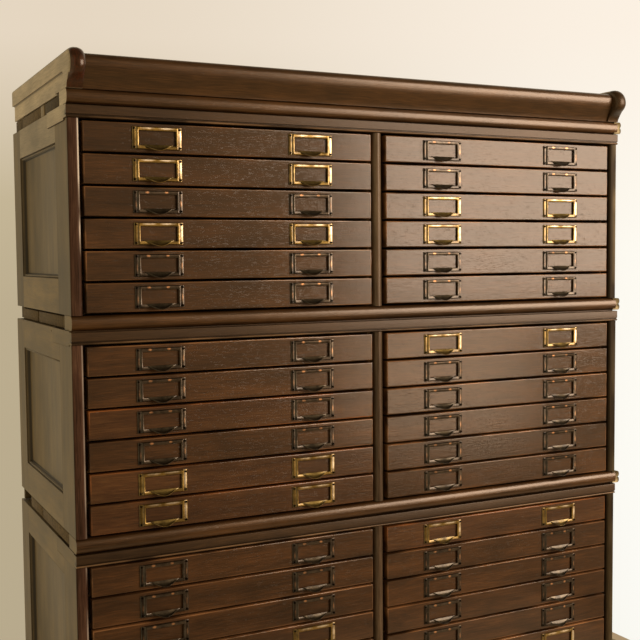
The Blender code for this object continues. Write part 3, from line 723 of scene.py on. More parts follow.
columnForm = {"width": 14.6 * mm, "wall": 21.2 * mm, "back": 337.7 * mm, "steps": 14}
radius = columnForm["width"] / 2
columnFace = arcPoints(0, 0.5 * mm + radius, radius, radius, -180, 0, columnForm["steps"])
columnFace = columnFace + [(radius, 15.3 * mm), (-radius, 15.3 * mm)]
column = drawn("column", [(x, y, sideForm["floor"]) for x, y in columnFace],
               (0, 0, -17.3 * mm - sideForm["floor"]))
smooth(column, 40)
paint(column, columnWood)
half = columnForm["wall"] / 2
wall = plank("wall", (-half, 15.3 * mm, sideForm["floor"]), (half, columnForm["back"], -17.3 * mm))
easeEdges(wall, 0.8 * mm, 2)
wall = joined("wall", [wall, ledgeSet("ledgesLeft", -half, -1), ledgeSet("ledgesRight", half, 1)])
smooth(wall, 40)
paint(wall, boxWood)
for section in sections:
    board = copied(f"{section}_column", column, corner[section])
    setTone(board, 0.62 if section == "upper" else 0.34)
    fit(board, "case", "moulding_wood", f"{section}_centre_partition")
    board = copied(f"{section}_partition_wall", wall, corner[section])
    setTone(board, 0.42)
    fit(board, "case", "moulding_wood")
discard(column, wall)
print("partitions built")


# Top rail, whose front is the fascia with a bead along its foot

fasciaForm = {"gap": 1.5 * mm, "projection": 2.0 * mm, "height": 17 * mm, "bead": 3.0 * mm, "groove": 1.3 * mm,
              "grooveDepth": 2.0 * mm, "round": 0.9 * mm, "lip": 19.5 * mm, "lipWidth": 14.8 * mm,
              "leftProud": {"upper": 1.6 * mm, "middle": 0.45 * mm, "lower": 0.0}}


def topRail(leftProud):
    form = fasciaForm
    front = -form["projection"]
    beadTop = -form["height"] + form["bead"]
    face = [(105 * mm, -14 * mm), (105 * mm, -seam), (9 * mm, -seam), (9 * mm, -form["gap"])]
    face += arcPoints(front + form["round"], -form["gap"] - form["round"], form["round"], form["round"], 90, 180, 4)
    face += [(front, beadTop + form["groove"] + 0.3 * mm), (front + 0.3 * mm, beadTop + form["groove"])]
    face += [(front + form["grooveDepth"], beadTop + form["groove"] - 0.2 * mm),
             (front + form["grooveDepth"], beadTop + 0.1 * mm)]
    face += arcPoints(front + form["grooveDepth"], -form["height"] + form["bead"] / 2, form["grooveDepth"],
                      form["bead"] / 2, 100, 270, 7)
    face += [(12 * mm, -form["height"]), (12 * mm, -14 * mm)]
    rail = drawn("topRail", [(-halfWidth - leftProud, y, z) for y, z in face], (2 * halfWidth + leftProud, 0, 0))
    # Where the rail's ends lie in the sides, they hang a little lower
    ends = []
    for start, stop in ((-halfWidth - leftProud, -halfWidth + form["lipWidth"]),
                        (halfWidth - form["lipWidth"], halfWidth)):
        ends.append(plank("lip", (start, 12.1 * mm, -form["lip"]), (stop, 105 * mm, -14 * mm)))
    rail = joined("topRail", [rail] + ends)
    # Painted shade fills the groove, and a painted highlight runs along the bead below it
    darkening = rail.data.attributes.new("darkening", "FLOAT", "POINT")
    wearAndHighlight = rail.data.attributes.new("wearAndHighlight", "FLOAT", "POINT")
    for point, grooveShade, rubbedAndLit in zip(rail.data.vertices, darkening.data, wearAndHighlight.data):
        inGroove = abs(point.co.y - front - form["grooveDepth"]) < 0.1 * mm and point.co.z > beadTop - 0.2 * mm
        grooveShade.value = 1.0 if inGroove else 0.0
        onBead = point.co.y < front + 0.8 * mm and point.co.z < beadTop
        rubbedAndLit.value = 0.45 if onBead else 0.0
    smooth(rail, 32)
    return rail


def paintEnds(piece, finish):
    # The ends that show in the cabinet's sides have the paler finish of the sides
    piece.data.materials.append(finish)
    for face in piece.data.polygons:
        if abs(face.normal.x) > 0.98:
            face.material_index = 1


for section in sections:
    rail = topRail(fasciaForm["leftProud"][section])
    paint(rail, mouldingWood)
    paintEnds(rail, crownSideWood if section == "upper" else sideLevelWood)
    board = copied(f"{section}_fascia_rail", rail, corner[section])
    discard(rail)
    setTone(board, 0.28)
    fit(board, "case", "moulding_wood", f"{section}_top_rail")


# Base rails: a half-round roll across the front, and the board's rough ends behind it

rollForm = {"projection": 1.5 * mm, "bulge": 7.0 * mm, "blockDepth": 38 * mm, "endRecess": 6 * mm,
            "pocket": 30 * mm, "steps": 18, "fullness": 0.88}
stripForm = {"proud": 8 * mm, "beadDepth": 3.0 * mm, "steps": 7}
# Blocks seen in the channel at each rail's left end: start, end, how far sunk, tone and finish
channelBlocks = {
    "crown": ((38.5, 136, 3.0, 0.0, "sawn"), (137, 158, 2.2, 0.75, "level"), (159, 290, 3.0, 0.66, "sawn"),
              (291.5, 349, 5.0, 0.35, "sawn")),
    "upper": ((38.5, 208, 3.0, 0.42, "sawn"), (217, 321, 3.4, 0.50, "sawn"), (322.5, 349, 6.0, 0.35, "sawn")),
    "middle": ((39.8, 206, 1.8, 0.62, "sawn"), (209.5, 289, 2.0, 0.62, "sawn"), (340, 349, 3.0, 0.25, "sawn")),
    "lower": ((39.5, 180, 2.0, 0.60, "sawn"), (181.5, 300, 2.5, 0.50, "sawn"), (301, 349, 4.5, 0.40, "sawn")),
}


def baseRoll(height, low):
    form = rollForm
    nose = []
    for step in range(form["steps"] + 1):
        turn = math.pi * step / form["steps"]
        # A little fuller than an oval, so that only a thin groove is left above and below it
        out, up = math.sin(turn) ** form["fullness"], abs(math.cos(turn)) ** form["fullness"]
        nose.append((form["bulge"] * (1 - out) - form["projection"],
                     low + height / 2 + math.copysign(up, math.cos(turn)) * height / 2))
    face = [(form["blockDepth"], low), (form["blockDepth"], low + height)] + nose
    roll = drawn("roll", [(-halfWidth, y, z) for y, z in face], (2 * halfWidth, 0, 0))
    smooth(roll, 40)
    return roll


def coverStrip(height, low):
    form = stripForm
    outer = halfWidth + form["proud"] - form["beadDepth"]
    bead = height / 2
    face = arcPoints(outer, low + bead / 2, form["beadDepth"], bead / 2, -90, 84, form["steps"])
    face += arcPoints(outer, low + bead * 1.5, form["beadDepth"], bead / 2, -84, 90, form["steps"])
    inner = halfWidth - rollForm["endRecess"] + 0.4 * mm
    face += [(inner, low + height), (inner, low)]
    strip = drawn("strip", [(x, 0, z) for x, z in face], (0, depth, 0))
    editMode(strip)
    pickFaces(strip, lambda middle, normal: abs(normal.y) > 0.9)
    bpy.ops.mesh.inset(thickness=0.5 * mm, depth=-0.35 * mm)
    objectMode()
    smooth(strip, 45)
    return strip


def fitBaseRail(name, height, low, place, node):
    form = rollForm
    roll = copied(f"{name}_roll", rollKit[height], place + Vector((0, 0, low)))
    setToneWithLightAcross(roll, *(rollTonesWithLight["crown"] if name == "crown" else rollTonesWithLight["section"]))
    fit(roll, "case", "moulding_wood", node)
    board = plank("board", (-halfWidth + form["pocket"], form["blockDepth"] + seam, low),
                  (halfWidth - form["endRecess"], depth, low + height))
    easeEdges(board, 0.4 * mm, 1)
    paint(board, backWood)
    shelf = copied(f"{name}_board", board, place)
    discard(board)
    setTone(shelf, 0.4)
    fit(shelf, "case", "moulding_wood")
    for number, (start, end, sunk, tone, finish) in enumerate(channelBlocks[name], 1):
        block = plank("block", (-halfWidth + sunk * mm, start * mm, low + 0.9 * mm),
                      (-halfWidth + form["pocket"] - seam, end * mm, low + height - (0.8 if end == 349 else 2.4) * mm))
        easeEdges(block, 0.6 * mm, 2)
        smooth(block, 40)
        paint(block, sideLevelWood if finish == "level" else sawnEndWood)
        seen = copied(f"{name}_end_block_{number}", block, place)
        discard(block)
        setTone(seen, tone)
        fit(seen, "case", "case_side_wood")
    strip = copied(f"{name}_cover_strip", stripKit[height], place + Vector((0, 0, low)))
    fit(strip, "case", "moulding_wood")


# Tones of the rolls at their left and right ends; the rise to the right is painted light
rollTonesWithLight = {"crown": (0.60, 0.94), "section": (0.50, 0.78)}
rollKit = {height: baseRoll(height, 0) for height in (18.0 * mm, 18.3 * mm)}
stripKit = {height: coverStrip(height, 0) for height in (18.0 * mm, 18.3 * mm)}
for piece in rollKit.values():
    paint(piece, rollWood)
    paintEnds(piece, crownSideWood if piece is rollKit[18.0 * mm] else sideLevelWood)
for piece in stripKit.values():
    paint(piece, stripBrass)
fitBaseRail("crown", 18.0 * mm, 0, corner["upper"], "crown_base")
for section in sections:
    fitBaseRail(section, 18.3 * mm, -pitch, corner[section], f"{section}_base_rail")
discard(*rollKit.values(), *stripKit.values())
print("rails built")


# Back: upright boards with a small groove at each joint

backForm = {"front": 338 * mm, "thickness": 8 * mm, "boards": 7, "groove": 1.2 * mm}
backEdge = halfWidth - sideForm["postWidth"] - sideForm["linedWidth"] - seam
boards = []
for number in range(backForm["boards"]):
    width = 2 * backEdge / backForm["boards"]
    left = -backEdge + number * width
    board = plank("backBoard", (left + 0.1 * mm, backForm["front"], sideForm["floor"]),
                  (left + width - 0.1 * mm, backForm["front"] + backForm["thickness"], -seam))
    easeEdges(board, backForm["groove"], 1)
    boards.append(board)
backBoards = joined("backBoards", boards)
paint(backBoards, backWood)
for section in sections:
    board = copied(f"{section}_back_boards", backBoards, corner[section])
    setTone(board, 0.5)
    fit(board, "case", "bare_inner_wood", f"{section}_back_panel")
discard(backBoards)
print("backs built")


# Crown: two scrolled ends, an ogee moulding between them, and the top board

crownForm = {
    "height": 66 * mm, "endThickness": 20 * mm, "bulbProjection": 24 * mm, "bulbDepth": 20 * mm,
    "bulbAbove": 21 * mm, "bulbBelow": 16 * mm, "bulbTurn": 235, "edgeRound": 6 * mm,
    "rings": (1.5, 3.0, 4.6, 6.2, 7.6, 8.8, 9.6),
    "throat": (6 * mm, 26.5 * mm), "neck": (2 * mm, 21.5 * mm), "fieldDepth": 3.4 * mm,
    "fieldTop": 40.5 * mm, "fieldFront": 13 * mm, "fieldOpen": 60 * mm,
    "mouldingHeight": 60 * mm, "mouldingProjection": 12.5 * mm, "noseRound": 10 * mm,
    "mouldingThickness": 18 * mm, "hollowTurn": 152, "topBoard": 15 * mm,
}
crownPlace = corner["upper"]


def crownEnd():
    form = crownForm
    foot = 18.3 * mm
    middleY = form["bulbDepth"] - form["bulbProjection"]
    middleZ = form["height"] - form["bulbAbove"]
    face = [(depth, foot), (depth, form["height"])]
    face += arcPoints(middleY, middleZ, form["bulbDepth"], form["bulbAbove"], 90, 180, 10)
    face += arcPoints(middleY, middleZ, form["bulbDepth"], form["bulbBelow"], 180, form["bulbTurn"], 6)[1:]
    face += [(-form["throat"][0], form["throat"][1]), (-4 * mm, 23.6 * mm), (-2.6 * mm, form["neck"][1]),
             (-form["neck"][0], foot)]
    end = drawn("crownEnd", [(-halfWidth, y, z) for y, z in face], (form["endThickness"], 0, 0))
    # The nose and the top edge are rounded right across the board: rings are cut through it, and
    # the farther a ring is from the middle of the board, the more its nose shrinks and its top sinks
    halfThick = form["endThickness"] / 2
    middleX = -halfWidth + halfThick
    editMode(end)
    for ring in form["rings"]:
        for place in (middleX - ring * mm, middleX + ring * mm):
            bpy.ops.mesh.select_all(action="SELECT")
            bpy.ops.mesh.bisect(plane_co=(place, 0, 0), plane_no=(1, 0, 0))
    for ring in form["rings"] + (halfThick / mm,):
        drop = form["edgeRound"] * (1 - math.sqrt(max(0.0, 1 - (ring * mm / halfThick) ** 2)))
        shrink = 1 - drop / form["bulbDepth"]
        pickPoints(end, lambda co: abs(abs(co.x - middleX) - ring * mm) < 0.1 * mm
                   and co.y < middleY + 0.1 * mm and co.z > form["throat"][1] + mm)
        bpy.ops.transform.resize(value=(1, shrink, shrink), center_override=(middleX, middleY, middleZ))
        pickPoints(end, lambda co: abs(abs(co.x - middleX) - ring * mm) < 0.1 * mm
                   and co.y > depth - mm and co.z > form["height"] - mm)
        bpy.ops.transform.translate(value=(0, 0, (shrink - 1) * form["bulbAbove"]))
    objectMode()
    hookRadius = (form["fieldTop"] - form["neck"][1]) / 2
    hook = arcPoints(form["fieldFront"] + hookRadius, form["neck"][1] + hookRadius, hookRadius, hookRadius,
                     90, 270, 12)
    fieldFace = [(depth + 20 * mm, 0), (depth + 20 * mm, form["fieldTop"])] + hook
    fieldFace += [(form["fieldOpen"], form["neck"][1]), (form["fieldOpen"] + 5 * mm, 0)]
    cutter = drawn("field", [(-halfWidth - 4 * mm, y, z) for y, z in fieldFace],
                   (4 * mm + form["fieldDepth"], 0, 0))
    editMode(cutter)
    pickEdges(cutter, lambda a, b: abs(a.x - b.x) < 1e-6 and a.x > -halfWidth)
    bpy.ops.mesh.bevel(offset=1.6 * mm, segments=4, affect="EDGES")
    objectMode()
    applyModifier(end, "BOOLEAN", operation="DIFFERENCE", solver="EXACT", object=cutter)
    discard(cutter)
    smooth(end, 38)
    return end


leftEnd = crownEnd()
paint(leftEnd, crownSideWood, scrollWood, sawnEndWood)
# Undersides take the dark sawn-end finish, raw wood that also serves as painted shade, and the nose and inner face
# take the scroll finish
for face in leftEnd.data.polygons:
    if face.normal.z < -0.9 and face.center.z < mm:
        face.material_index = 2
    if face.normal.x > -0.75 and face.center.y < 12 * mm or face.normal.x > 0.8:
        face.material_index = 1
# Painted shade on the coved walls of the sunk field, under its lip and round its hook
darkening = leftEnd.data.attributes.new("darkening", "FLOAT", "FACE")
for face, value in zip(leftEnd.data.polygons, darkening.data):
    inField = -halfWidth + 0.2 * mm < face.center.x < -halfWidth + 3.3 * mm and face.center.y > 12 * mm
    value.value = 0.55 if inField and abs(face.normal.x) < 0.97 else 0.0
rightEnd = mirrored("rightEnd", leftEnd)
# The right end's scroll and inner face take the darker moulding finish as painted shade
rightEnd.data.materials[1] = mouldingWood
for sideName, piece in (("left", leftEnd), ("right", rightEnd)):
    board = copied(f"crown_{sideName}_scrolled_end", piece, crownPlace)
    setTone(board, 0.5)
    fit(board, "case", "case_side_wood", f"crown_{sideName}_end")
discard(leftEnd, rightEnd)

form = crownForm
foot = 18.3 * mm
noseZ = form["mouldingHeight"] - form["noseRound"]
face = [(form["mouldingThickness"], foot), (form["mouldingThickness"], form["mouldingHeight"])]
face += arcPoints(form["noseRound"] - form["mouldingProjection"], noseZ, form["noseRound"], form["noseRound"],
                  90, 180, 8)
reach = (form["mouldingProjection"] + mm) / (1 - math.cos(math.radians(form["hollowTurn"])))
for step in range(1, 19):
    turn = math.radians(form["hollowTurn"]) * step / 18
    face.append((-form["mouldingProjection"] + reach * (1 - math.cos(turn)),
                 noseZ + (foot - noseZ) * step / 18))
edge = halfWidth - form["endThickness"] - seam
moulding = drawn("crown_ogee_moulding", [(-edge, y, z) for y, z in face], (2 * edge, 0, 0))
smooth(moulding, 40)
paint(moulding, rollWood)
board = copied("crown_ogee", moulding, crownPlace)
discard(moulding)
# Lighter towards the right end as painted light
setToneWithLightAcross(board, 0.36, 0.72)
fit(board, "case", "moulding_wood", "crown_moulding")

top = form["mouldingHeight"] - mm
boards = []
for start, end in ((18.3, 128), (128.3, 239), (239.3, 350)):
    board = plank("topPlank", (-edge, start * mm, top - form["topBoard"]), (edge, end * mm, top))
    easeEdges(board, 0.7 * mm, 1)
    boards.append(board)
rear = plank("rearRail", (-edge, depth - form["topBoard"], foot), (edge, depth, top - form["topBoard"] - seam))
easeEdges(rear, 0.7 * mm, 1)
topBoard = joined("topBoard", boards + [rear])
paint(topBoard, mouldingWood)
board = copied("crown_top_planks", topBoard, crownPlace)
discard(topBoard)
setTone(board, 0.4)
fit(board, "case", "case_side_wood", "crown_top_board")
print("crown built")


# Plinth: four boards mitred round an open middle

plinthForm = {"inset": 6 * mm, "board": 20 * mm, "height": 70 * mm}
edge = halfWidth - plinthForm["inset"]
bpy.ops.object.select_all(action="DESELECT")
plinthFrame = plank("plinthFrame", (-edge, plinthForm["inset"], 0),
                    (edge, depth - plinthForm["inset"], plinthForm["height"] - seam))
editMode(plinthFrame)
pickFaces(plinthFrame, lambda middle, normal: abs(normal.z) > 0.9)
bpy.ops.mesh.inset(thickness=plinthForm["board"])
bpy.ops.mesh.bridge_edge_loops()
objectMode()
easeEdges(plinthFrame, 1.2 * mm, 2)
smooth(plinthFrame, 40)
paint(plinthFrame, mouldingWood)
lowerCorner = corner["lower"]
board = copied("plinth_boards", plinthFrame, Vector((lowerCorner.x, lowerCorner.y, 0)))
discard(plinthFrame)
setTone(board, 0.4)
fit(board, "case", "moulding_wood", "plinth")
print("plinth built")


# Drawers: a front board with pale edges, partly real abrasion and partly painted highlight, a thin box behind it, and
# two pulls

drawerForm = {"width": 401.2 * mm, "height": 36.55 * mm, "thickness": 16 * mm, "edgeRound": 1.0 * mm,
              "boxInset": 0.4 * mm, "boxWall": 7 * mm, "boxBottom": 4 * mm, "boxLift": 5.5 * mm,
              "boxTop": 1.5 * mm, "boxBack": 330 * mm, "pullSpacing": 214 * mm, "pullDrop": 0.0}
# Drawers whose front is a redder or a paler board than the others
frontTones = {("upper", "left"): 0.43, ("upper", "right"): 0.46, ("middle", "left"): 0.52,
              ("middle", "right"): 0.52, ("lower", "left"): 0.54, ("lower", "right"): 0.56}
redderFronts = ("middle_left_drawer_3", "middle_left_drawer_5", "middle_left_drawer_6", "lower_right_drawer_1")
darkerFronts = ("upper_left_drawer_1", "upper_left_drawer_3", "upper_left_drawer_5", "middle_left_drawer_1",
                "middle_right_drawer_5", "lower_right_drawer_2")
palerFronts = ("middle_left_drawer_2", "middle_left_drawer_5", "middle_left_drawer_6", "lower_right_drawer_1",
               "upper_right_drawer_1", "upper_right_drawer_2", "upper_right_drawer_6")


def drawerFront():
    form = drawerForm
    half, tall = form["width"] / 2, form["height"] / 2
    front = plank("front", (-half, 0, -tall), (half, form["thickness"], tall))
    editMode(front)
    pickEdges(front, lambda a, b: a.y < mm and b.y < mm)
    bpy.ops.mesh.bevel(offset=form["edgeRound"], segments=3, affect="EDGES")
    bpy.ops.mesh.select_mode(type="FACE")
    pickFaces(front, lambda middle, normal: normal.y < -0.99)
    bpy.ops.mesh.inset(thickness=0.6 * mm)
    objectMode()
    # The top edge is the palest, then the right, the left and the foot: partly real abrasion by hands and neighbours,
    # partly painted highlight where the edges catch the light from above and the right
    wearAndHighlight = front.data.attributes.new("wearAndHighlight", "FLOAT", "POINT")
    for point, value in zip(front.data.vertices, wearAndHighlight.data):
        edges = ((tall - point.co.z, 1.0), (half - point.co.x, 0.8), (half + point.co.x, 0.45),
                 (tall + point.co.z, 0.1))
        if point.co.y < 1.2 * mm:
            value.value = max([0.0] + [rubbedAndLit for reach, rubbedAndLit in edges if reach < 1.1 * mm])
    smooth(front, 50)
    return front


def drawerBox():
    form = drawerForm
    half = form["width"] / 2 - form["boxInset"]
    low = -form["height"] / 2 + form["boxLift"]
    high = form["height"] / 2 - form["boxTop"]
    start = form["thickness"] + 0.1 * mm
    wall = form["boxWall"]
    left = plank("boxLeft", (-half, start, low), (-half + wall, form["boxBack"], high))
    right = plank("boxRight", (half - wall, start, low), (half, form["boxBack"], high))
    sidesPair = joined("boxSides", [left, right])
    easeEdges(sidesPair, 0.9 * mm, 2)
    back = plank("boxBack", (-half + wall, form["boxBack"] - wall, low), (half - wall, form["boxBack"], high - mm))
    easeEdges(back, 0.8 * mm, 2)
    bottom = plank("boxBottom", (-half + wall, start, low + 0.5 * mm),
                   (half - wall, form["boxBack"] - wall, low + form["boxBottom"]))
    paint(sidesPair, boxWood, boxCrossWood)
    for part in (back, bottom):
        paint(part, boxWood, boxCrossWood)
        for face in part.data.polygons:
            face.material_index = 1
    box = joined("box", [sidesPair, back, bottom])
    smooth(box, 40)
    return box


# Pull, in millimetres from its middle: the lines drawn across its plate, and tables of how far
# the plate stands out where it rises round the window and where it falls to its outer edge
pullForm = {
    "linesX": (24.25, 25.0, 26.6, 27.4, 28.0, 28.7, 31.6, 32.25), "linesZ": (9.25, 10.0, 12.9, 13.7, 14.25),
    "riseX": ((24.2, 0.0), (24.25, 2.4), (25.0, 3.0)), "riseZ": ((9.2, 0.0), (9.25, 2.4), (10.0, 3.0)),
    "fallX": ((26.6, 3.0), (27.4, 1.8), (28.0, 1.4), (28.7, 1.5), (31.6, 1.5), (32.25, 0.6)),
    "fallZ": ((12.9, 3.0), (13.7, 2.3), (14.25, 0.7)),
    "sheet": 0.6, "tongueWidth": 19.5, "tongueReach": 10.0, "tongueSag": 1.2, "tongueRows": 4,
    "tongueRoot": (2.6, 8.6), "pinX": 30.0, "pinZ": 11.6, "pinRadius": 1.35,
}


def readTable(table, value):
    # The value read from a table of places and heights, on the straight line between its rows
    if value <= table[0][0]:
        return table[0][1]
    for (fromPlace, fromHeight), (toPlace, toHeight) in zip(table, table[1:]):
        if value <= toPlace + 1e-6:
            return fromHeight + (toHeight - fromHeight) * (value - fromPlace) / (toPlace - fromPlace)
    return table[-1][1]


def standOut(x, z):
    form = pullForm
    x, z = abs(x), abs(z)
    rise = max(readTable(form["riseX"], x), readTable(form["riseZ"], z))
    return min(rise, readTable(form["fallX"], x), readTable(form["fallZ"], z))


def pullPlate():
    form = pullForm
    bpy.ops.object.select_all(action="DESELECT")
    bpy.ops.mesh.primitive_plane_add(size=1, rotation=(math.radians(90), 0, 0))
    plate = bpy.context.object
    plate.name = "plate"
    plate.scale = (2 * form["linesX"][-1] * mm, 2 * form["linesZ"][-1] * mm, 1)
    bpy.ops.object.transform_apply(location=True, rotation=True, scale=True)
    bpy.ops.object.mode_set(mode="EDIT")
    for line in form["linesX"][:-1]:
        for place in (-line, line):
            bpy.ops.mesh.select_all(action="SELECT")
            bpy.ops.mesh.bisect(plane_co=(place * mm, 0, 0), plane_no=(1, 0, 0))
    for line in form["linesZ"][:-1]:
        for place in (-line, line):
            bpy.ops.mesh.select_all(action="SELECT")
            bpy.ops.mesh.bisect(plane_co=(0, 0, place * mm), plane_no=(0, 0, 1))
    bpy.ops.mesh.select_mode(type="FACE")
    pickFaces(plate, lambda middle, normal: abs(middle.x) < 24 * mm and abs(middle.z) < 9 * mm)
    bpy.ops.mesh.delete(type="FACE")
    mesh = bmesh.from_edit_mesh(plate.data)
    heights = sorted({round(standOut(p.co.x / mm, p.co.z / mm), 3) for p in mesh.verts})
    for height in heights:
        if height > 0:
            pickPoints(plate, lambda co: co.y > -1e-7
                       and abs(standOut(co.x / mm, co.z / mm) - height) < 0.002)
            bpy.ops.transform.translate(value=(0, -height * mm, 0))
    objectMode()
    return plate


def pullTongue():
    # The half-moon is a patch laid between its straight root and its round rim, then dished
    form = pullForm
    reach, half = form["tongueReach"], form["tongueWidth"]
    count = 20
    rim = []
    for i in range(count + 1):
        across = 2 * i / count - 1
        # A round rim that runs out into a small ear at each side
        rim.append((half * across, -reach * max(0.0, math.cos(math.pi * across / 2)) ** 1.35))
    slope = math.radians(45)
    bpy.ops.object.select_all(action="DESELECT")
    bpy.ops.mesh.primitive_grid_add(x_subdivisions=count, y_subdivisions=form["tongueRows"], size=1)
    tongue = bpy.context.object
    tongue.name = "tongue"
    bpy.ops.object.mode_set(mode="EDIT")
    for column in range(count + 1):
        for row in range(form["tongueRows"] + 1):
            part = row / form["tongueRows"]
            startX, startY = column / count - 0.5, part - 0.5
            rimX, rimDrop = rim[column]
            away = -rimDrop * (1 - part)
            sag = form["tongueSag"] * 4 * part * (1 - part) * min(1.0, away / 4 + 0.1)
            y = -form["tongueRoot"][0] - away * math.cos(slope) + sag * math.sin(slope)
            z = -form["tongueRoot"][1] - away * math.sin(slope) - sag * math.cos(slope)
            target = Vector((rimX * mm, y * mm, z * mm))
            pickPoints(tongue, lambda co: abs(co.x - startX) < 1e-4 and abs(co.y - startY) < 1e-4
                       and abs(co.z) < 1e-6)
            bpy.ops.transform.translate(value=target - Vector((startX, startY, 0)))
    objectMode()
    return tongue


def fullPull():
    form = pullForm
    plate = pullPlate()
    applyModifier(plate, "SOLIDIFY", thickness=form["sheet"] * mm, offset=-1.0)
    applyModifier(plate, "BEVEL", width=0.18 * mm, segments=1, limit_method="ANGLE", angle_limit=math.radians(50))
    tongue = pullTongue()
    applyModifier(tongue, "SOLIDIFY", thickness=0.9 * mm, offset=0.0)
    applyModifier(tongue, "BEVEL", width=0.2 * mm, segments=1, limit_method="ANGLE", angle_limit=math.radians(50))
    plateFaces = len(plate.data.polygons)
    pull = joined("pull", [plate, tongue])
    bpy.ops.object.mode_set(mode="EDIT")
    bpy.ops.mesh.select_all(action="SELECT")
    bpy.ops.mesh.normals_make_consistent(inside=False)
    objectMode()
    plateMap = pull.data.uv_layers.new(name="plate")
    for loop in pull.data.loops:
        co = pull.data.vertices[loop.vertex_index].co
        plateMap.data[loop.index].uv = (co.x / (64.5 * mm) + 0.5, co.z / (28.5 * mm) + 0.5)
    # Painted shade: the walls of the window take the near-black pin metal
    for face in pull.data.polygons:
        inWindow = abs(face.center.x) < 25.0 * mm and abs(face.center.z) < 10.0 * mm
        if inWindow and abs(face.normal.y) < 0.6 and face.center.y > -2.6 * mm:
            face.material_index = 1
        # The tongue takes the darker tongue metal, tarnished metal and painted shade, and its rim keeps the plate's
        # metal as a painted highlight
        if face.index >= plateFaces:
            onRim = abs(face.normal.z - face.normal.y) < 0.8 and face.center.z < -9.4 * mm
            face.material_index = 0 if onRim else 2
    smooth(pull, 40)
    return pull


def pullPins():
    form = pullForm
    pins = []
    for x in (-form["pinX"], form["pinX"]):
        for z in (-form["pinZ"], form["pinZ"]):
            bpy.ops.object.select_all(action="DESELECT")
            bpy.ops.mesh.primitive_cylinder_add(vertices=12, radius=form["pinRadius"] * mm, depth=1.0 * mm,
                                                location=(x * mm, -2.0 * mm, z * mm),
                                                rotation=(math.radians(90), 0, 0))
            pin = bpy.context.object
            bpy.ops.object.transform_apply(location=True, rotation=True, scale=True)
            editMode(pin)
            pickFaces(pin, lambda middle, normal: normal.y < -0.9)
            bpy.ops.mesh.bevel(offset=0.35 * mm, segments=2, affect="EDGES")
            objectMode()
            pins.append(pin)
    whole = joined("pins", pins)
    smooth(whole, 60)
    return whole


frontKit = drawerFront()
boxKit = drawerBox()
pullKit = fullPull()
pinKit = pullPins()
paint(frontKit, frontWood)
paint(pinKit, pinSteelAndWindowShade)
print("drawer kit built")

# Rows whose pulls are brass, from the top row down; the others have blackened ones
brassRows = {("upper", "left"): (1, 2, 4), ("upper", "right"): (3, 4), ("middle", "left"): (5, 6),
             ("middle", "right"): (1,), ("lower", "left"): (4,), ("lower", "right"): (1, 6)}
for section in sections:
    for sideName in ("left", "right"):
        for row in range(1, 7):
            drawer = f"{section}_{sideName}_drawer_{row}"
            low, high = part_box(drawer)
            place = Vector(((low.x + high.x) / 2, corner[section].y, high.z - drawerForm["height"] / 2))
            front = copied(f"{drawer}_front", frontKit, place)
            tone = frontTones[section, sideName] + random.uniform(-0.10, 0.10)
            tone += 0.14 if drawer in palerFronts else -0.20 if drawer in darkerFronts else 0
            setTone(front, tone)
            if drawer in redderFronts:
                front.data.materials[0] = redFrontWood
            # How pale the edges of this drawer are; the right column, nearer the light, gets more painted highlight
            rubAndSheen = random.uniform(0.45, 0.95) * (1.0 if sideName == "right" else 0.75)
            for value in front.data.attributes["wearAndHighlight"].data:
                value.value *= rubAndSheen
            fit(front, drawer, "drawer_wood", drawer)
            box = copied(f"{drawer}_box", boxKit, place)
            setTone(box, 0.5 + random.uniform(-0.12, 0.12))
            fit(box, drawer, "bare_inner_wood")
            isBrass = row in brassRows[section, sideName]
            for hand, x in (("left", -0.5), ("right", 0.5)):
                spot = place + Vector((x * drawerForm["pullSpacing"], 0, -drawerForm["pullDrop"]))
                pull = copied(f"{drawer}_pull_{hand}", pullKit, spot)
                for metal in (agedBrass if isBrass else blackBronze, pinSteelAndWindowShade,
                              tarnishedShadedBrass if isBrass else darkBronze):
                    pull.data.materials.append(metal)
                fit(pull, drawer, "drawer_wood")
                pins = copied(f"{drawer}_pins_{hand}", pinKit, spot)
                fit(pins, drawer, "drawer_wood")
discard(frontKit, boxKit, pullKit, pinKit)
print("drawers built")


# Floor, backdrop colour, lamps and camera

floorLook = {"low": (-0.62, -0.62), "high": (0.62, 0.42), "colour": "#cfc3ad"}
floor = plank("studio_floor", floorLook["low"] + (-4 * mm,), floorLook["high"] + (0,))
material, tree = newMaterial("matt_pale_floor")
shader = addNode(tree, "ShaderNodeBsdfPrincipled", 0, 0,
                 {"Base Color": linear(floorLook["colour"]), "Roughness": 0.9})
addNode(tree, "ShaderNodeOutputMaterial", 300, 0, {}, {"Surface": shader.outputs["BSDF"]})
paint(floor, material)

# The wall behind is tan to the left and cream to the right, from its foot to its top, and the
# room in front, which lights the cabinet and shows in its varnish, is dim
roomLook = {
    "wallLeft": ((-0.32, "#b7a98c"), (-0.05, "#bbac8e"), (0.055, "#c4b596"), (0.20, "#e5d6c1")),
    "wallRight": ((-0.25, "#fffef8"), (0.0, "#fffcf3"), (0.20, "#fdf2e4")), "wallEnds": (0.20, 0.74),
    "lightLeft": "#e2cda2", "lightRight": "#f4e6cc", "ceiling": "#4c4432", "strength": 1.0,
    "front": ((-1.0, "#a58a62"), (-0.60, "#94774f"), (-0.36, "#33281a"), (0.20, "#33281a"), (0.50, "#6d5c42"),
              (1.0, "#4c4432")),
}
world = bpy.data.worlds.new("room")
world.use_nodes = True
bpy.context.scene.world = world
tree = world.node_tree
tree.nodes.clear()
direction = addNode(tree, "ShaderNodeTexCoord", -1400, 0)
split = addNode(tree, "ShaderNodeSeparateXYZ", -1200, 0, {}, {"Vector": direction.outputs["Generated"]})


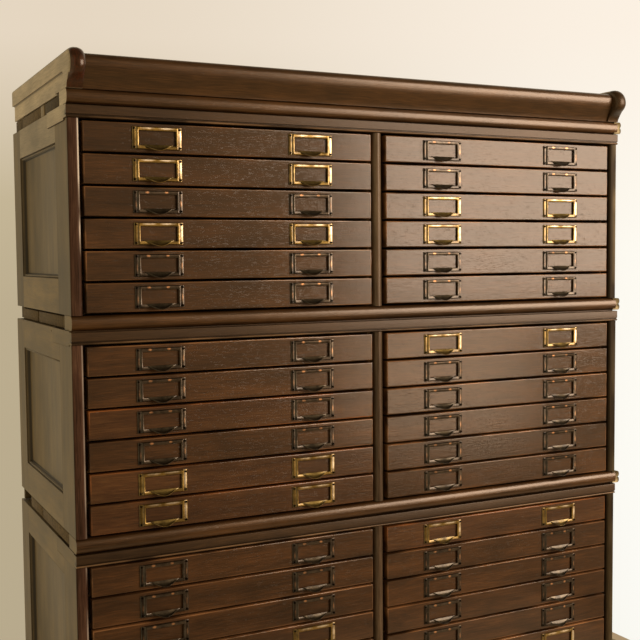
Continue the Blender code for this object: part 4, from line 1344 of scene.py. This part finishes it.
def wallColours(stops, y):
    # A ramp up the wall, whose stops are heights from -1 to 1 as the camera sees them
    height = addNode(tree, "ShaderNodeMapRange", -1000, y, {"From Min": -1.0, "From Max": 1.0},
                     {"Value": split.outputs["Z"]})
    ramp = addNode(tree, "ShaderNodeValToRGB", -800, y, {}, {"Fac": height.outputs["Result"]})
    places = [(place + 1) / 2 for place, colour in stops]
    for element, place, (unused, colour) in zip(ramp.color_ramp.elements, (places[0], places[-1]),
                                                (stops[0], stops[-1])):
        element.position, element.color = place, linear(colour)
    for place, (unused, colour) in list(zip(places, stops))[1:-1]:
        ramp.color_ramp.elements.new(place).color = linear(colour)
    return ramp.outputs["Color"]


across = addNode(tree, "ShaderNodeMapRange", -800, 500,
                 {"interpolation_type": "SMOOTHSTEP", "From Min": roomLook["wallEnds"][0],
                  "From Max": roomLook["wallEnds"][1]}, {"Value": split.outputs["X"]})
wall = addNode(tree, "ShaderNodeMix", -500, 300, {"data_type": "RGBA"},
               {0: across.outputs["Result"], 6: wallColours(roomLook["wallLeft"], 300),
                7: wallColours(roomLook["wallRight"], 0)})
sideways = addNode(tree, "ShaderNodeMapRange", -800, -300, {"From Min": -0.7, "From Max": 0.7},
                   {"Value": split.outputs["X"]})
around = addNode(tree, "ShaderNodeMix", -500, -300,
                 {"data_type": "RGBA", 6: linear(roomLook["lightLeft"]), 7: linear(roomLook["lightRight"])},
                 {0: sideways.outputs["Result"]})
behind = addNode(tree, "ShaderNodeMapRange", -800, -600,
                 {"interpolation_type": "SMOOTHSTEP", "From Min": -0.35, "From Max": 0.25},
                 {"Value": split.outputs["Y"]})
beside = addNode(tree, "ShaderNodeMapRange", -800, -900,
                 {"interpolation_type": "SMOOTHSTEP", "From Min": -0.05, "From Max": -0.60, "To Max": 0.8},
                 {"Value": split.outputs["X"]})
share = addNode(tree, "ShaderNodeMath", -500, -600, {"operation": "MAXIMUM"},
                {0: behind.outputs["Result"], 1: beside.outputs["Result"]})
room = addNode(tree, "ShaderNodeMix", -200, -300, {"data_type": "RGBA"},
               {0: share.outputs["Value"], 6: wallColours(roomLook["front"], -600), 7: around.outputs[2]})
above = addNode(tree, "ShaderNodeMapRange", -200, -600,
                {"interpolation_type": "SMOOTHSTEP", "From Min": 0.45, "From Max": 0.9},
                {"Value": split.outputs["Z"]})
lit = addNode(tree, "ShaderNodeMix", 0, -300, {"data_type": "RGBA", 7: linear(roomLook["ceiling"])},
              {0: above.outputs["Result"], 6: room.outputs[2]})
seenBy = addNode(tree, "ShaderNodeLightPath", 0, 500)
seen = addNode(tree, "ShaderNodeMix", 200, 0, {"data_type": "RGBA"},
               {0: seenBy.outputs["Is Camera Ray"], 6: lit.outputs[2], 7: wall.outputs[2]})
shade = addNode(tree, "ShaderNodeBackground", 400, 0, {"Strength": roomLook["strength"]},
                {"Color": seen.outputs[2]})
addNode(tree, "ShaderNodeOutputWorld", 600, 0, {}, {"Surface": shade.outputs["Background"]})

lampLook = {
    "window": {"place": (2.09, -2.32, 1.40), "aim": (0.0, -0.16, 0.60), "size": (1.74, 1.85), "power": 94,
               "colour": "#ffe5cc"},
    "lowWindow": {"place": (1.62, -2.52, 0.20), "aim": (0.1, -0.16, 0.50), "size": (0.70, 0.50), "power": 5.5,
                  "colour": "#ffdcb8"},
}
for name, look in lampLook.items():
    lamp = bpy.data.lights.new(name, "AREA")
    lamp.shape = "RECTANGLE"
    lamp.size, lamp.size_y = look["size"]
    lamp.energy = look["power"]
    lamp.color = linear(look["colour"])[:3]
    holder = bpy.data.objects.new(name, lamp)
    bpy.context.scene.collection.objects.link(holder)
    holder.location = look["place"]
    aim = Vector(look["aim"]) - Vector(look["place"])
    holder.rotation_euler = aim.to_track_quat("-Z", "Y").to_euler()

cameraLook = {"place": (-0.7311, -1.4389, 0.7122), "turn": 26.461, "tilt": -3.456, "roll": -0.541,
              "lens": 58.78}
camera = bpy.data.objects.new("camera", bpy.data.cameras.new("camera"))
bpy.context.scene.collection.objects.link(camera)
camera.data.lens = cameraLook["lens"]
camera.data.sensor_width = 36
camera.data.clip_start = 0.05
camera.matrix_world = (Matrix.Translation(cameraLook["place"])
                       @ Matrix.Rotation(math.radians(-cameraLook["turn"]), 4, "Z")
                       @ Matrix.Rotation(math.radians(90 + cameraLook["tilt"]), 4, "X")
                       @ Matrix.Rotation(math.radians(cameraLook["roll"]), 4, "Z"))
bpy.context.scene.camera = camera
bpy.context.scene.view_settings.view_transform = "Standard"
print("camera and lamps set")
